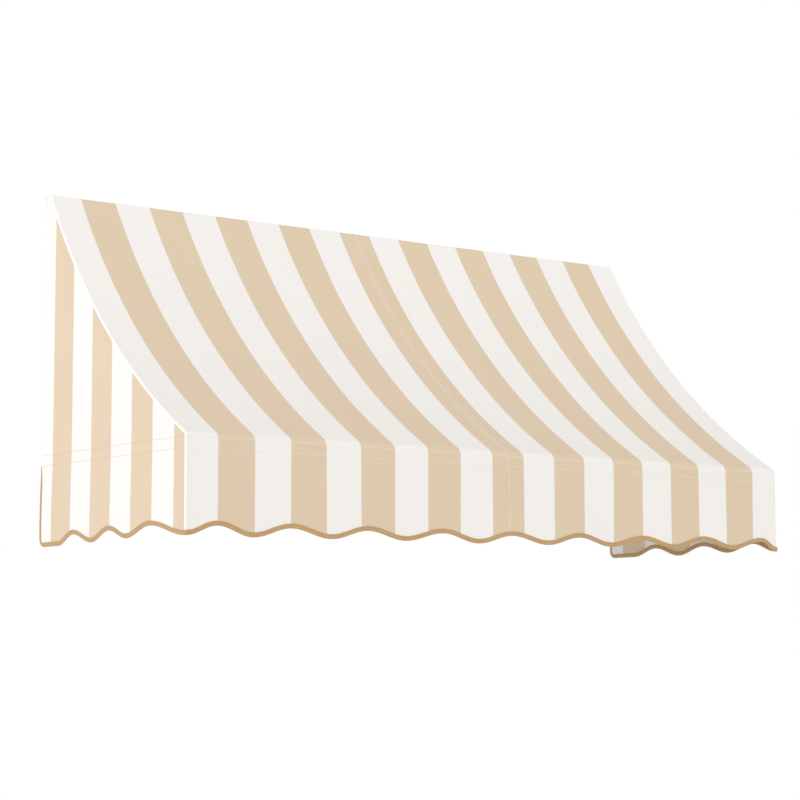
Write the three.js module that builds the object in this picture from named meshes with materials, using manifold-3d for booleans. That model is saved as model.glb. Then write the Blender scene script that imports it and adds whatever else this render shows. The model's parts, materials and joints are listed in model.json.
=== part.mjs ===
import * as THREE from 'three';
import { mergeVertices } from 'three/addons/utils/BufferGeometryUtils.js';
import Module from 'manifold-3d';

// Window awning with a concave roof: a striped canvas cover sewn from panels, held out from the
// wall by a knock-down frame of square steel tube on five wall brackets. Nothing in it moves.
// Millimetres, +Z up. The wall is the plane y = 0 and the awning projects to -Y, with x = 0 in
// the middle of its width. The origin is the centre of the middle bracket's wall face.

// Cover: overall sizes
const WIDTH = 1638;
const PROJECTION = 610;
const RISE = 570; // front fold to the top of the canvas
const TOP_DEPTH = 25; // flat strip over the header bar
const SAG = 53; // depth of the roof's hollow curve below its chord
const DROP = 200; // front fold to the lowest points of the hem
const SCALLOP = 20; // height of the hem's waves

// Cover: layers
const CANVAS = 1.2;
const STRIP = 1; // cloth of the tube pockets and rafter sleeves
const FOLD_RADIUS = 6;
const TAPE = 0.8; // binding tape
const TAPE_WIDTH = 10;
const HEM_CORNER = 14; // radius of the hem's two corners at the wall
const FLANGE = 8; // sewn edge of a pocket strip
const FLANGE_BELOW_FOLD = 4;
const POCKET_GAP = 4; // pocket or sleeve end to the casting's plug
const CENTRE_SLEEVE_GAP = 8; // middle sleeve's ends to the middle rafter's ends
const HEM_TURN_TOP = -25; // side panel's turned wall edge, upper end
const HEM_TURN_RISE = 18; // its lower end above the front fold
const HEM_TURN_LAP = 0.1; // how far the turned edge runs into the panel

// Frame
const TUBE = 19;
const WALL = 1.2;
const FIT = 0.3; // gap between pieces that touch
const SPIGOT = 28; // length of a casting's plug inside a tube
const BACK = -3; // wall side of the header bar and the uprights
const BAR_BELOW_FOLD = 8.7; // top of the front bar under the fold
const UPRIGHT_TOP = 6;
const RAFTER_START = 34; // rafter cut back from the header, along the curve
const RAFTER_END = 26; // rafter cut back from the front fold
const CENTRE_END = 45; // the same for the middle rafter
const ARM_FRONT = -574;
const NECK_START = 2; // corner casting's rafter neck, from the roof's top
const NECK_END = 4; // and from the front fold

// Shoes of the middle rafter
const SHOE_PLATE = 2.7;
const SHOE_SCREW_X = 17;
const SHOE_HALF_WIDTH = 25;
const SHOE_FOOT = 13; // header shoe's plate
const SHOE_BELOW_TOP = 6;
const SHOE_SCREW_RISE = 4.7; // its screws above the header bar's underside
const SHOE_NECK_FOOT = 9.8;
const SHOE_NECK_START = 6;
const FRONT_NECK_RISE = 2; // front shoe's neck above the front bar's underside
const FRONT_NECK_TOP = 4; // and above the bar's top
const FRONT_NECK_END = 24;

// Wall brackets and screws
const STRAP = 3;
const STRAP_WIDTH = 25;
const BRACKET_FLANGE = 50;
const BRACKET_SEAT = 22;
const BRACKET_BEND = 5;
const LAG_HOLE = 3.5; // radius
const LAG_SPACING = 28;
const HEADER_BRACKET_X = 640;
const CLIP_Z = -440; // height of the two side clips
const SCREW = 2.1; // radius
const SCREW_HOLE = 2.4; // radius
const SCREW_LENGTH = 16;
const SCREW_INSET = 15; // from a tube's end
const WASHER = 5.2; // radius
const WASHER_THICK = 1;
const HEAD = 4.6; // radius over the corners
const HEAD_TALL = 3.6;
const HEAD_SUNK = 0.4; // head into its washer
const POINT = 4;

// Steps of curved lines, and how far cutters and joined pieces overlap
const RAFTER_STEPS = 14;
const ROOF_STEPS = 24;
const NECK_STEPS = 2;
const BEND_STEPS = 4;
const HEM_CORNER_STEPS = 5;
const WAVE_STEPS = 6;
const ROUND = 12; // sides of a lag hole
const SCREW_SIDES = 8;
const OVERLAP = 1;
const CLEAR = 5;

// Worked out from the sizes above
const HALF = WIDTH / 2;
const HALF_TUBE = TUBE / 2;
const BORE = HALF_TUBE - WALL; // half the hollow of a tube
const PLUG = BORE - FIT; // half the width of a spigot
const SEAT_TOP = BRACKET_FLANGE / 2;
const HEADER_BOTTOM = SEAT_TOP + CANVAS + 2 * FIT;
const HEADER_TOP = HEADER_BOTTOM + TUBE;
const HEADER_Z = HEADER_BOTTOM + HALF_TUBE;
const TOP = HEADER_TOP + FIT + CANVAS;
const FOLD = TOP - RISE;
const LOW = FOLD - DROP;
const HIGH = LOW + SCALLOP;
const POCKET_DEPTH = CANVAS + STRIP + 2 * FIT; // canvas face to the tube behind it
const FRAME_X = HALF - POCKET_DEPTH - HALF_TUBE;
const FRAME_INNER = FRAME_X - HALF_TUBE;
const FRAME_OUTER = FRAME_X + HALF_TUBE;
const BACK_Y = BACK - HALF_TUBE;
const FRONT_Y = -PROJECTION + POCKET_DEPTH + HALF_TUBE;
const BAR_TOP = FOLD - BAR_BELOW_FOLD;
const BAR_Z = BAR_TOP - HALF_TUBE;
const CANVAS_BACK = BACK + FIT + CANVAS;
const CUT_EDGE = TAPE + FIT; // canvas edge above the bottom of the binding
const RAFTER_INSET = POCKET_DEPTH + HALF_TUBE;
const BAR_END = FRAME_INNER - FIT;
const UNDER_ROOF = CANVAS + FIT;
const TAPE_BACK = -CANVAS_BACK - CUT_EDGE;
const TAPE_TOP = FOLD - BAR_BELOW_FOLD - TUBE - 2 * STRIP;

// Hem waves as [distance, height] of each high and low point. The sides count from the wall and
// the front from its left corner, where a short first scallop is followed by even ones.
const FIRST_CREST = 75;
const FIRST_TROUGH = 158;
const HALF_WAVE = 95.2;
const HALF_WAVES = 16;
const frontWave = [[0, LOW], [FIRST_CREST, HIGH], [FIRST_TROUGH, LOW]];
for (let i = 1; i <= HALF_WAVES; i++) {
  frontWave.push([FIRST_TROUGH + i * HALF_WAVE, i % 2 ? HIGH : LOW]);
}
const leftWave = [
  [HEM_CORNER, LOW], [72, LOW], [150, HIGH], [229, LOW], [303, HIGH], [375, LOW], [468, HIGH],
  [PROJECTION, LOW],
];
const rightWave = [
  [HEM_CORNER, LOW], [96, LOW], [177, HIGH], [266, LOW], [354, HIGH], [444, LOW], [530, HIGH],
  [PROJECTION, waveHeight(frontWave, WIDTH)],
];

const wasm = await Module();
wasm.setup();

// Solids: a closed three.js geometry becomes a manifold for cutting and joining, and back again.
function solid(geometry) {
  const bare = geometry.clone();
  bare.deleteAttribute('normal');
  bare.deleteAttribute('uv');
  const merged = mergeVertices(bare);
  return new wasm.Manifold(new wasm.Mesh({
    numProp: 3,
    vertProperties: new Float32Array(merged.attributes.position.array),
    triVerts: new Uint32Array(merged.index.array),
  }));
}

function toGeometry(body) {
  const mesh = body.getMesh();
  const geometry = new THREE.BufferGeometry();
  geometry.setAttribute('position', new THREE.BufferAttribute(mesh.vertProperties, 3));
  geometry.setIndex(new THREE.BufferAttribute(mesh.triVerts, 1));
  geometry.computeVertexNormals();
  return geometry;
}

// An outline pushed along one axis. Points are [y, z] along x, [z, x] along y and [x, y] along z.
const AXES = {
  x: [new THREE.Vector3(0, 1, 0), new THREE.Vector3(0, 0, 1), new THREE.Vector3(1, 0, 0)],
  y: [new THREE.Vector3(0, 0, 1), new THREE.Vector3(1, 0, 0), new THREE.Vector3(0, 1, 0)],
  z: [new THREE.Vector3(1, 0, 0), new THREE.Vector3(0, 1, 0), new THREE.Vector3(0, 0, 1)],
};

function prism(axis, outline, from, to) {
  const shape = new THREE.Shape(outline.map(([u, v]) => new THREE.Vector2(u, v)));
  const low = Math.min(from, to);
  const depth = Math.abs(to - from);
  const geometry = new THREE.ExtrudeGeometry(shape, { depth, steps: 1, bevelEnabled: false });
  geometry.translate(0, 0, low);
  geometry.applyMatrix4(new THREE.Matrix4().makeBasis(...AXES[axis]));
  return solid(geometry);
}

function box(x, y, z) {
  const size = [x, y, z].map(([a, b]) => Math.abs(b - a));
  const geometry = new THREE.BoxGeometry(...size);
  geometry.translate((x[0] + x[1]) / 2, (y[0] + y[1]) / 2, (z[0] + z[1]) / 2);
  return solid(geometry);
}

function rod(radius, sides, centre, direction, length) {
  const geometry = new THREE.CylinderGeometry(radius, radius, length, sides);
  geometry.translate(0, length / 2, 0);
  const turn = new THREE.Quaternion().setFromUnitVectors(AXES.y[2], direction);
  geometry.applyQuaternion(turn);
  geometry.translate(...centre.toArray());
  return solid(geometry);
}

// Rounds the corner of an open line at its point i.
function roundCorner(line, i, radius, steps) {
  const nearby = [line[i - 1], line[i], line[i + 1]];
  const [before, corner, after] = nearby.map((p) => new THREE.Vector2(...p));
  const into = before.sub(corner).normalize();
  const out = after.sub(corner).normalize();
  const halfAngle = Math.acos(into.dot(out)) / 2;
  const bisector = into.clone().add(out).normalize();
  const centre = corner.clone().addScaledVector(bisector, radius / Math.sin(halfAngle));
  const start = corner.clone().addScaledVector(into, radius / Math.tan(halfAngle)).sub(centre);
  const end = corner.clone().addScaledVector(out, radius / Math.tan(halfAngle)).sub(centre);
  const sweep = Math.atan2(start.x * end.y - start.y * end.x, start.dot(end));
  const arc = [];
  for (let k = 0; k <= steps; k++) {
    const p = start.clone().rotateAround(new THREE.Vector2(), (sweep * k) / steps).add(centre);
    arc.push([p.x, p.y]);
  }
  return [...line.slice(0, i), ...arc, ...line.slice(i + 1)];
}

// Outline of a strip of even thickness lying to the left of an open line.
function stripOutline(line, thickness) {
  const normal = (a, b) => new THREE.Vector2(a[1] - b[1], b[0] - a[0]).normalize();
  const offset = line.map((p, i) => {
    const before = normal(line[Math.max(i - 1, 0)], line[Math.max(i, 1)]);
    const last = line.length - 1;
    const after = normal(line[Math.min(i, last - 1)], line[Math.min(i + 1, last)]);
    const sum = before.clone().add(after);
    const scale = thickness / (1 + before.dot(after));
    return [p[0] + sum.x * scale, p[1] + sum.y * scale];
  });
  return [...line, ...offset.reverse()];
}

// Roof curve: an arc from the front edge of the top strip to the front fold, hollow side up.
const roofTop = new THREE.Vector2(-TOP_DEPTH, TOP);
const roofFold = new THREE.Vector2(-PROJECTION, FOLD);
const chord = roofFold.clone().sub(roofTop);
const along = chord.clone().normalize();
const inward = new THREE.Vector2(-along.y, along.x);
const RADIUS = (chord.lengthSq() / 4 + SAG * SAG) / (2 * SAG);
const HALF_ANGLE = Math.asin(chord.length() / 2 / RADIUS);
const arcCentre = roofTop.clone().addScaledVector(chord, 0.5).addScaledVector(inward, SAG - RADIUS);
const RAFTER_LINE = (RADIUS + RAFTER_INSET) * 2 * HALF_ANGLE;

// [y, z] of a point at a fraction of the roof's length, at a depth below the canvas face.
function roofPoint(fraction, inset) {
  const angle = HALF_ANGLE * (2 * fraction - 1);
  const radius = RADIUS + inset;
  const p = arcCentre.clone()
    .addScaledVector(inward, radius * Math.cos(angle))
    .addScaledVector(along, radius * Math.sin(angle));
  return [p.x, p.y];
}

function roofLine(from, to, inset, steps) {
  const line = [];
  for (let i = 0; i <= steps; i++) {
    line.push(roofPoint(from + ((to - from) * i) / steps, inset));
  }
  return line;
}

// Band between two depths below the canvas, from one distance along a rafter to another.
function roofBand(from, to, near, far, steps) {
  const [a, b] = [from / RAFTER_LINE, to / RAFTER_LINE];
  return [...roofLine(a, b, near, steps), ...roofLine(a, b, far, steps).reverse()];
}

// Hem: height at a distance along a side, eased between high and low points.
function waveHeight(stations, distance) {
  const i = stations.findIndex(([s]) => s >= distance);
  const [s0, z0] = stations[i - 1];
  const [s1, z1] = stations[i];
  return z0 + ((z1 - z0) * (1 - Math.cos((Math.PI * (distance - s0)) / (s1 - s0)))) / 2;
}

function waveLine(stations, length) {
  const line = [stations[0]];
  for (let i = 1; i < stations.length; i++) {
    const [s0, z0] = stations[i - 1];
    const [s1, z1] = stations[i];
    const steps = z0 === z1 ? 1 : WAVE_STEPS;
    for (let k = 1; k <= steps; k++) {
      const s = s0 + ((s1 - s0) * k) / steps;
      if (s < length) {
        line.push([s, waveHeight(stations, s)]);
      }
    }
  }
  return [...line, [length, waveHeight(stations, length)]];
}

// Edge of one side panel: down the wall end, round its corner and along the waves, as
// [distance from the wall, height] of the outside of the binding.
function sideEdge(stations) {
  const corner = [[TAPE_BACK, TAPE_TOP], [TAPE_BACK, LOW], [stations[1][0], LOW]];
  const start = roundCorner(corner, 1, HEM_CORNER, HEM_CORNER_STEPS).slice(0, -1);
  return [...start, ...waveLine(stations.slice(1), PROJECTION - CANVAS / 2)];
}

// Inward normals of an open line whose left side is the cloth.
function lineNormals(line) {
  return line.map((p, i) => {
    const a = line[Math.max(i - 1, 0)];
    const b = line[Math.min(i + 1, line.length - 1)];
    return new THREE.Vector2(a[1] - b[1], b[0] - a[0]).normalize();
  });
}

function shiftLine(line, distance) {
  const normals = lineNormals(line);
  return line.map((p, i) => [p[0] + normals[i].x * distance, p[1] + normals[i].y * distance]);
}

const leftEdge = sideEdge(leftWave);
const rightEdge = sideEdge(rightWave);
const frontEdge = waveLine(frontWave, WIDTH);

// Screws: [name, point under the head, direction of the shank].
const X = AXES.x[2];
const Y = AXES.y[2];
const Z = AXES.z[2];
const screws = [];

function addScrew(name, x, y, z, direction) {
  screws.push({ name, place: new THREE.Vector3(x, y, z), direction });
}

for (const [name, x] of [['left', -HEADER_BRACKET_X], ['centre', 0], ['right', HEADER_BRACKET_X]]) {
  addScrew(`screw_header_bracket_${name}`, x, BACK_Y, SEAT_TOP - STRAP - FIT, Z);
}
for (const [name, side] of [['a', -1], ['b', 1]]) {
  const x = side * SHOE_SCREW_X;
  const topPlate = BACK - TUBE - SHOE_PLATE - 2 * FIT;
  const frontPlate = FRONT_Y + HALF_TUBE + SHOE_PLATE + 2 * FIT;
  addScrew(`screw_top_shoe_${name}`, x, topPlate, HEADER_BOTTOM + SHOE_SCREW_RISE, Y);
  addScrew(`screw_front_shoe_${name}`, x, frontPlate, BAR_Z, Y.clone().negate());
}
for (const [name, side] of [['left', -1], ['right', 1]]) {
  const outwards = X.clone().multiplyScalar(side);
  const face = side * (FRAME_INNER - FIT);
  const barEnd = side * (FRAME_INNER - FIT - SCREW_INSET);
  const rafterTop = roofPoint((RAFTER_START + SCREW_INSET) / RAFTER_LINE, RAFTER_INSET);
  const rafterLow = roofPoint(1 - (RAFTER_END + SCREW_INSET) / RAFTER_LINE, RAFTER_INSET);
  const clipFace = side * (FRAME_INNER - 3 * FIT - CANVAS - STRAP);
  addScrew(`screw_side_clip_${name}`, clipFace, BACK_Y, CLIP_Z, outwards);
  addScrew(`screw_header_${name}`, barEnd, BACK_Y, HEADER_BOTTOM - FIT, Z);
  addScrew(`screw_front_bar_${name}`, barEnd, FRONT_Y + HALF_TUBE + FIT, BAR_Z, Y.clone().negate());
  addScrew(`screw_upright_top_${name}`, face, BACK_Y, UPRIGHT_TOP - SCREW_INSET, outwards);
  addScrew(`screw_upright_foot_${name}`, face, BACK_Y, BAR_TOP + SCREW_INSET, outwards);
  addScrew(`screw_arm_back_${name}`, face, BACK - TUBE - SCREW_INSET, BAR_Z, outwards);
  addScrew(`screw_arm_front_${name}`, face, ARM_FRONT + SCREW_INSET, BAR_Z, outwards);
  addScrew(`screw_rafter_top_${name}`, face, ...rafterTop, outwards);
  addScrew(`screw_rafter_foot_${name}`, face, ...rafterLow, outwards);
}

const drillings = wasm.Manifold.union(
  screws.map(({ place, direction }) => {
    const start = place.clone().addScaledVector(direction, -FIT);
    return rod(SCREW_HOLE, SCREW_SIDES, start, direction, SCREW_LENGTH + 2 * FIT);
  }),
);

// Materials
function finish(color, roughness, metalness) {
  return new THREE.MeshStandardMaterial({ color, roughness, metalness });
}

const canvasCloth = finish(0xefe9dd, 0.9, 0);
const tapeCloth = finish(0xbc9a6c, 0.85, 0);
const tubeSteel = finish(0xb4b8ba, 0.4, 0.9);
const castAlloy = finish(0x9da0a2, 0.55, 0.8);
const strapSteel = finish(0xa9adaf, 0.45, 0.9);
const screwSteel = finish(0xc8cbcc, 0.3, 0.95);

const frame = new THREE.Group();
const cover = new THREE.Group();
const fixings = new THREE.Group();

function add(group, name, body, material) {
  const mesh = new THREE.Mesh(toGeometry(body), material);
  mesh.name = name;
  group.add(mesh);
  return mesh;
}

// Square tube along one axis, centred on [u, v] in the outline's own axes.
function squareTube(axis, [u, v], from, to) {
  const square = (half) => [
    [u - half, v - half],
    [u + half, v - half],
    [u + half, v + half],
    [u - half, v + half],
  ];
  const hollow = prism(axis, square(BORE), from - OVERLAP, to + OVERLAP);
  return prism(axis, square(HALF_TUBE), from, to).subtract(hollow).subtract(drillings);
}

// Square bar that follows the roof curve, solid, centred on a rafter.
function bentBar(x, half, from, to, steps) {
  const band = roofBand(from, to, RAFTER_INSET - half, RAFTER_INSET + half, steps);
  return prism('x', band, x - half, x + half);
}

// Roll-bent square tube that follows the roof curve at one place across the width.
function rafter(x, from, to) {
  const hollow = bentBar(x, BORE, from - OVERLAP, to + OVERLAP, RAFTER_STEPS);
  return bentBar(x, HALF_TUBE, from, to, RAFTER_STEPS).subtract(hollow).subtract(drillings);
}

// Sleeve of cloth round a rafter, open at both ends, hanging from the seam above it.
function sleeve(x, from, to) {
  const near = HALF_TUBE + FIT;
  const hollow = bentBar(x, near, from - OVERLAP, to + OVERLAP, RAFTER_STEPS);
  return bentBar(x, near + STRIP, from, to, RAFTER_STEPS).subtract(hollow);
}

add(frame, 'header_bar', squareTube('x', [BACK_Y, HEADER_Z], -BAR_END, BAR_END), tubeSteel);
add(frame, 'front_bar', squareTube('x', [FRONT_Y, BAR_Z], -BAR_END, BAR_END), tubeSteel);
add(frame, 'rafter_centre', rafter(0, RAFTER_START, RAFTER_LINE - CENTRE_END), tubeSteel);

// Cast shoes that seat the middle rafter on the header bar and on the front bar. Each has a
// plate with a screw on either side of the rafter, a neck and a plug for the tube.
const rafterNear = RAFTER_INSET - HALF_TUBE;
const rafterFar = RAFTER_INSET + HALF_TUBE;
const headerFace = BACK - TUBE - FIT;
const barFace = FRONT_Y + HALF_TUBE + FIT;
const shoeStart = RAFTER_START - FIT;
const shoeEnd = RAFTER_LINE - CENTRE_END + FIT;

function rafterPlug(x, from, to) {
  return bentBar(x, PLUG, from, to, NECK_STEPS);
}

const shoeWidth = [-SHOE_HALF_WIDTH, SHOE_HALF_WIDTH];
const shoeHead = HEADER_TOP - SHOE_BELOW_TOP;
const topNeck = [
  [headerFace, SHOE_NECK_FOOT],
  roofPoint(shoeStart / RAFTER_LINE, rafterFar),
  roofPoint(shoeStart / RAFTER_LINE, rafterNear),
  roofPoint(SHOE_NECK_START / RAFTER_LINE, rafterNear),
  [headerFace, shoeHead],
];
const topShoe = box(shoeWidth, [headerFace - SHOE_PLATE, headerFace], [SHOE_FOOT, shoeHead])
  .add(prism('x', topNeck, -HALF_TUBE, HALF_TUBE))
  .add(rafterPlug(0, shoeStart - OVERLAP, RAFTER_START + SPIGOT))
  .subtract(drillings);
add(frame, 'shoe_header', topShoe, castAlloy);

const frontNeck = [
  [barFace, BAR_TOP - TUBE + FRONT_NECK_RISE],
  roofPoint(shoeEnd / RAFTER_LINE, rafterFar),
  roofPoint(shoeEnd / RAFTER_LINE, rafterNear),
  roofPoint(1 - FRONT_NECK_END / RAFTER_LINE, rafterNear),
  [barFace, BAR_TOP + FRONT_NECK_TOP],
];
const frontShoe = box(shoeWidth, [barFace, barFace + SHOE_PLATE], [BAR_TOP - TUBE, BAR_TOP])
  .add(prism('x', frontNeck, -HALF_TUBE, HALF_TUBE))
  .add(rafterPlug(0, shoeEnd + OVERLAP, RAFTER_LINE - CENTRE_END - SPIGOT))
  .subtract(drillings);
add(frame, 'shoe_front', frontShoe, castAlloy);

// Each end of the frame: an upright on the wall, a level arm, a rafter and three castings.
const acrossTube = [FRAME_INNER, FRAME_OUTER];
const acrossPlug = [FRAME_X - PLUG, FRAME_X + PLUG];
const backTube = [BACK - TUBE, BACK];
const backPlug = [BACK_Y - PLUG, BACK_Y + PLUG];
const frontTube = [FRONT_Y - HALF_TUBE, FRONT_Y + HALF_TUBE];
const barTube = [BAR_TOP - TUBE, BAR_TOP];
const barPlug = [BAR_Z - PLUG, BAR_Z + PLUG];

for (const [name, side] of [['left', -1], ['right', 1]]) {
  const mirror = ([a, b]) => [side * a, side * b];
  const tubeX = mirror(acrossTube);
  const plugX = mirror(acrossPlug);
  const barPlugX = mirror([BAR_END - SPIGOT, FRAME_INNER + OVERLAP]);
  const cornerStart = RAFTER_START - FIT;
  const cornerEnd = RAFTER_LINE - RAFTER_END + FIT;
  const neckEnd = RAFTER_LINE - NECK_END;
  const x = side * FRAME_X;

  add(frame, `upright_${name}`, squareTube('z', [x, BACK_Y], BAR_TOP + FIT, UPRIGHT_TOP), tubeSteel);
  add(frame, `arm_${name}`, squareTube('y', [BAR_Z, x], ARM_FRONT, BACK - TUBE - FIT), tubeSteel);
  add(frame, `rafter_${name}`, rafter(x, RAFTER_START, RAFTER_LINE - RAFTER_END), tubeSteel);

  const topCorner = box(tubeX, backTube, [UPRIGHT_TOP + FIT, HEADER_TOP])
    .add(bentBar(x, HALF_TUBE, NECK_START, cornerStart, NECK_STEPS))
    .add(rafterPlug(x, RAFTER_START - OVERLAP, RAFTER_START + SPIGOT))
    .add(box(plugX, backPlug, [UPRIGHT_TOP - SPIGOT, UPRIGHT_TOP + OVERLAP]))
    .add(box(barPlugX, backPlug, [HEADER_Z - PLUG, HEADER_Z + PLUG]))
    .subtract(drillings);
  add(frame, `corner_header_${name}`, topCorner, castAlloy);

  const frontCorner = box(tubeX, [frontTube[0], ARM_FRONT - FIT], barTube)
    .add(bentBar(x, HALF_TUBE, cornerEnd, neckEnd, NECK_STEPS))
    .add(rafterPlug(x, cornerEnd - FIT - SPIGOT, cornerEnd - FIT + OVERLAP))
    .add(box(plugX, [ARM_FRONT - OVERLAP, ARM_FRONT + SPIGOT], barPlug))
    .add(box(barPlugX, [FRONT_Y - PLUG, FRONT_Y + PLUG], barPlug))
    .subtract(drillings);
  add(frame, `corner_front_${name}`, frontCorner, castAlloy);

  const elbow = box(tubeX, backTube, barTube)
    .add(box(plugX, backPlug, [BAR_TOP - OVERLAP, BAR_TOP + SPIGOT]))
    .add(box(plugX, [BACK - TUBE - SPIGOT, BACK - TUBE + OVERLAP], barPlug))
    .subtract(drillings);
  add(frame, `elbow_${name}`, elbow, castAlloy);
}

// Cover, roof: two cloths meeting at the middle seam. Each is one length that is turned round
// the header bar, lies down the roof curve and folds over to hang as the front valance.
const roofFaceLine = [
  [BACK - TUBE, SEAT_TOP + FIT],
  [CANVAS_BACK, SEAT_TOP + FIT],
  [CANVAS_BACK, TOP],
  ...roofLine(0, 1, 0, ROOF_STEPS),
  [-PROJECTION, LOW - CLEAR],
];
const foldIndex = roofFaceLine.length - 2;
const foldedLine = roundCorner(roofFaceLine, foldIndex, FOLD_RADIUS, BEND_STEPS);
const roofSection = stripOutline(foldedLine, CANVAS);
const frontCut = shiftLine(frontEdge, CUT_EDGE).map(([s, z]) => [z, s - HALF]);
const belowHem = LOW - SCALLOP;
const scallopOutline = [
  [frontCut[0][0], -HALF - CLEAR],
  ...frontCut,
  [frontCut.at(-1)[0], HALF + CLEAR],
  [belowHem, HALF + CLEAR],
  [belowHem, -HALF - CLEAR],
];
const scallopCutter = prism('y', scallopOutline, -PROJECTION - CLEAR, -PROJECTION + CLEAR);

for (const [name, side] of [['left', -1], ['right', 1]]) {
  const end = side * (BAR_END - SPIGOT);
  const underHeader = box(
    [end, side * (HALF + CLEAR)],
    [BACK - TUBE - CLEAR, BACK + FIT],
    [SEAT_TOP - CLEAR, HEADER_BOTTOM],
  );
  const cloth = prism('x', roofSection, (side * FIT) / 2, side * HALF)
    .subtract(scallopCutter)
    .subtract(underHeader)
    .subtract(drillings);
  add(cover, `canopy_${name}`, cloth, canvasCloth);
}

// Cover, sides: each is one cloth under the edge of the roof, with its wall edge turned round the
// upright and its lower part hanging as the side valance.
for (const [name, side, edge] of [['left', -1, leftEdge], ['right', 1, rightEdge]]) {
  const frontEnd = -PROJECTION + UNDER_ROOF;
  const hemLine = shiftLine(edge, CUT_EDGE).map(([s, z]) => [-s, z]);
  const outline = [
    [CANVAS_BACK, SEAT_TOP],
    [BACK, SEAT_TOP],
    [BACK, TOP - UNDER_ROOF],
    roofPoint(UNDER_ROOF / RAFTER_LINE, UNDER_ROOF),
    ...roofLine(0, 1 - FOLD_RADIUS / RAFTER_LINE, UNDER_ROOF, ROOF_STEPS).slice(1),
    [frontEnd, FOLD - FOLD_RADIUS],
    [frontEnd, hemLine.at(-1)[1]],
    ...hemLine.filter(([y]) => y > frontEnd).reverse(),
  ];
  const turnedLine = [
    [side * (HALF - HEM_TURN_LAP), CANVAS_BACK],
    [side * (BAR_END - CANVAS), CANVAS_BACK],
    [side * (BAR_END - CANVAS), BACK - TUBE],
  ];
  const turn = stripOutline(turnedLine, side * CANVAS);
  const cloth = prism('x', outline, side * (HALF - CANVAS), side * HALF)
    .add(prism('z', turn, FOLD + HEM_TURN_RISE, HEM_TURN_TOP))
    .subtract(drillings);
  add(cover, `side_panel_${name}`, cloth, canvasCloth);
}

// Pocket strips: cloth wrapped round a tube, with a flat edge above and below it sewn to the cover.
const pocketSkin = HALF_TUBE + FIT + STRIP;
const lowerFlange = BAR_Z - pocketSkin - FLANGE;
const upperFlange = FOLD - FLANGE_BELOW_FOLD;

// Outline in [distance from the tube's centre towards the cover, height].
const pocketOutline = stripOutline([
  [pocketSkin - STRIP, lowerFlange],
  [pocketSkin - STRIP, BAR_Z - pocketSkin],
  [-pocketSkin, BAR_Z - pocketSkin],
  [-pocketSkin, BAR_Z + pocketSkin],
  [pocketSkin - STRIP, BAR_Z + pocketSkin],
  [pocketSkin - STRIP, upperFlange],
], -STRIP);
const plugEnd = SPIGOT + POCKET_GAP;
const frontPocket = [SHOE_HALF_WIDTH + POCKET_GAP, BAR_END - plugEnd];
const armPocket = [ARM_FRONT + plugEnd, BACK - TUBE - plugEnd];

for (const [name, side] of [['left', -1], ['right', 1]]) {
  const onBar = pocketOutline.map(([out, z]) => [FRONT_Y - out, z]);
  const onArm = pocketOutline.map(([out, z]) => [z, side * (FRAME_X + out)]);
  const [near, far] = frontPocket.map((reach) => side * reach);
  const start = RAFTER_START + plugEnd;
  const end = RAFTER_LINE - RAFTER_END - plugEnd;
  add(cover, `front_pocket_${name}`, prism('x', onBar, near, far), canvasCloth);
  add(cover, `arm_pocket_${name}`, prism('y', onArm, ...armPocket), canvasCloth);
  add(cover, `rafter_sleeve_${name}`, sleeve(side * FRAME_X, start, end), canvasCloth);
}
const centreStart = RAFTER_START + CENTRE_SLEEVE_GAP;
const centreEnd = RAFTER_LINE - CENTRE_END - CENTRE_SLEEVE_GAP;
add(cover, 'rafter_sleeve_centre', sleeve(0, centreStart, centreEnd), canvasCloth);

// Binding: one tape folded over the hem, from the wall end of the left side, round the front and
// back to the wall on the right. Its section is a U that holds the canvas edge.
const slot = CANVAS / 2 + FIT;
const tapeSection = [
  [-slot - TAPE, 0], [slot + TAPE, 0], [slot + TAPE, TAPE_WIDTH], [slot, TAPE_WIDTH],
  [slot, TAPE], [-slot, TAPE], [-slot, TAPE_WIDTH], [-slot - TAPE, TAPE_WIDTH],
];
const midX = HALF - CANVAS / 2;
const midY = -PROJECTION + CANVAS / 2;

// Stations along the tape: a point, the way into the cloth and the way out of the awning.
const stations = [];
const sideStations = (edge, side) => {
  const normals = lineNormals(edge);
  return edge.slice(0, -1).map(([s, z], i) => ({
    point: new THREE.Vector3(side * midX, -s, z),
    up: new THREE.Vector3(0, -normals[i].x, normals[i].y),
    out: new THREE.Vector3(side, 0, 0),
  }));
};
const cornerStation = (side, z) => ({
  point: new THREE.Vector3(side * midX, midY, z),
  up: Z.clone(),
  out: new THREE.Vector3(side, -1, 0),
});
const frontNormals = lineNormals(frontEdge);
stations.push(...sideStations(leftEdge, -1), cornerStation(-1, frontEdge[0][1]));
frontEdge.forEach(([s, z], i) => {
  if (s > TAPE_WIDTH && s < WIDTH - TAPE_WIDTH) {
    stations.push({
      point: new THREE.Vector3(s - HALF, midY, z),
      up: new THREE.Vector3(frontNormals[i].x, 0, frontNormals[i].y),
      out: Y.clone().negate(),
    });
  }
});
stations.push(cornerStation(1, frontEdge.at(-1)[1]), ...sideStations(rightEdge, 1).reverse());

// Closed body through a ring of points at each station, with both ends capped.
function sweep(rings) {
  const count = rings[0].length;
  const positions = rings.flat().flatMap((p) => p.toArray());
  const faces = [];
  for (let r = 0; r < rings.length - 1; r++) {
    for (let i = 0; i < count; i++) {
      const [a, b] = [r * count + i, r * count + ((i + 1) % count)];
      faces.push(a, b + count, b, a, a + count, b + count);
    }
  }
  const section = tapeSection.map(([u, v]) => new THREE.Vector2(u, v));
  const cap = THREE.ShapeUtils.triangulateShape(section, []);
  const last = (rings.length - 1) * count;
  for (const [a, b, c] of cap) {
    faces.push(a, b, c, last + a, last + c, last + b);
  }
  const geometry = new THREE.BufferGeometry();
  geometry.setAttribute('position', new THREE.Float32BufferAttribute(positions, 3));
  geometry.setIndex(faces);
  return geometry;
}

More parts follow.
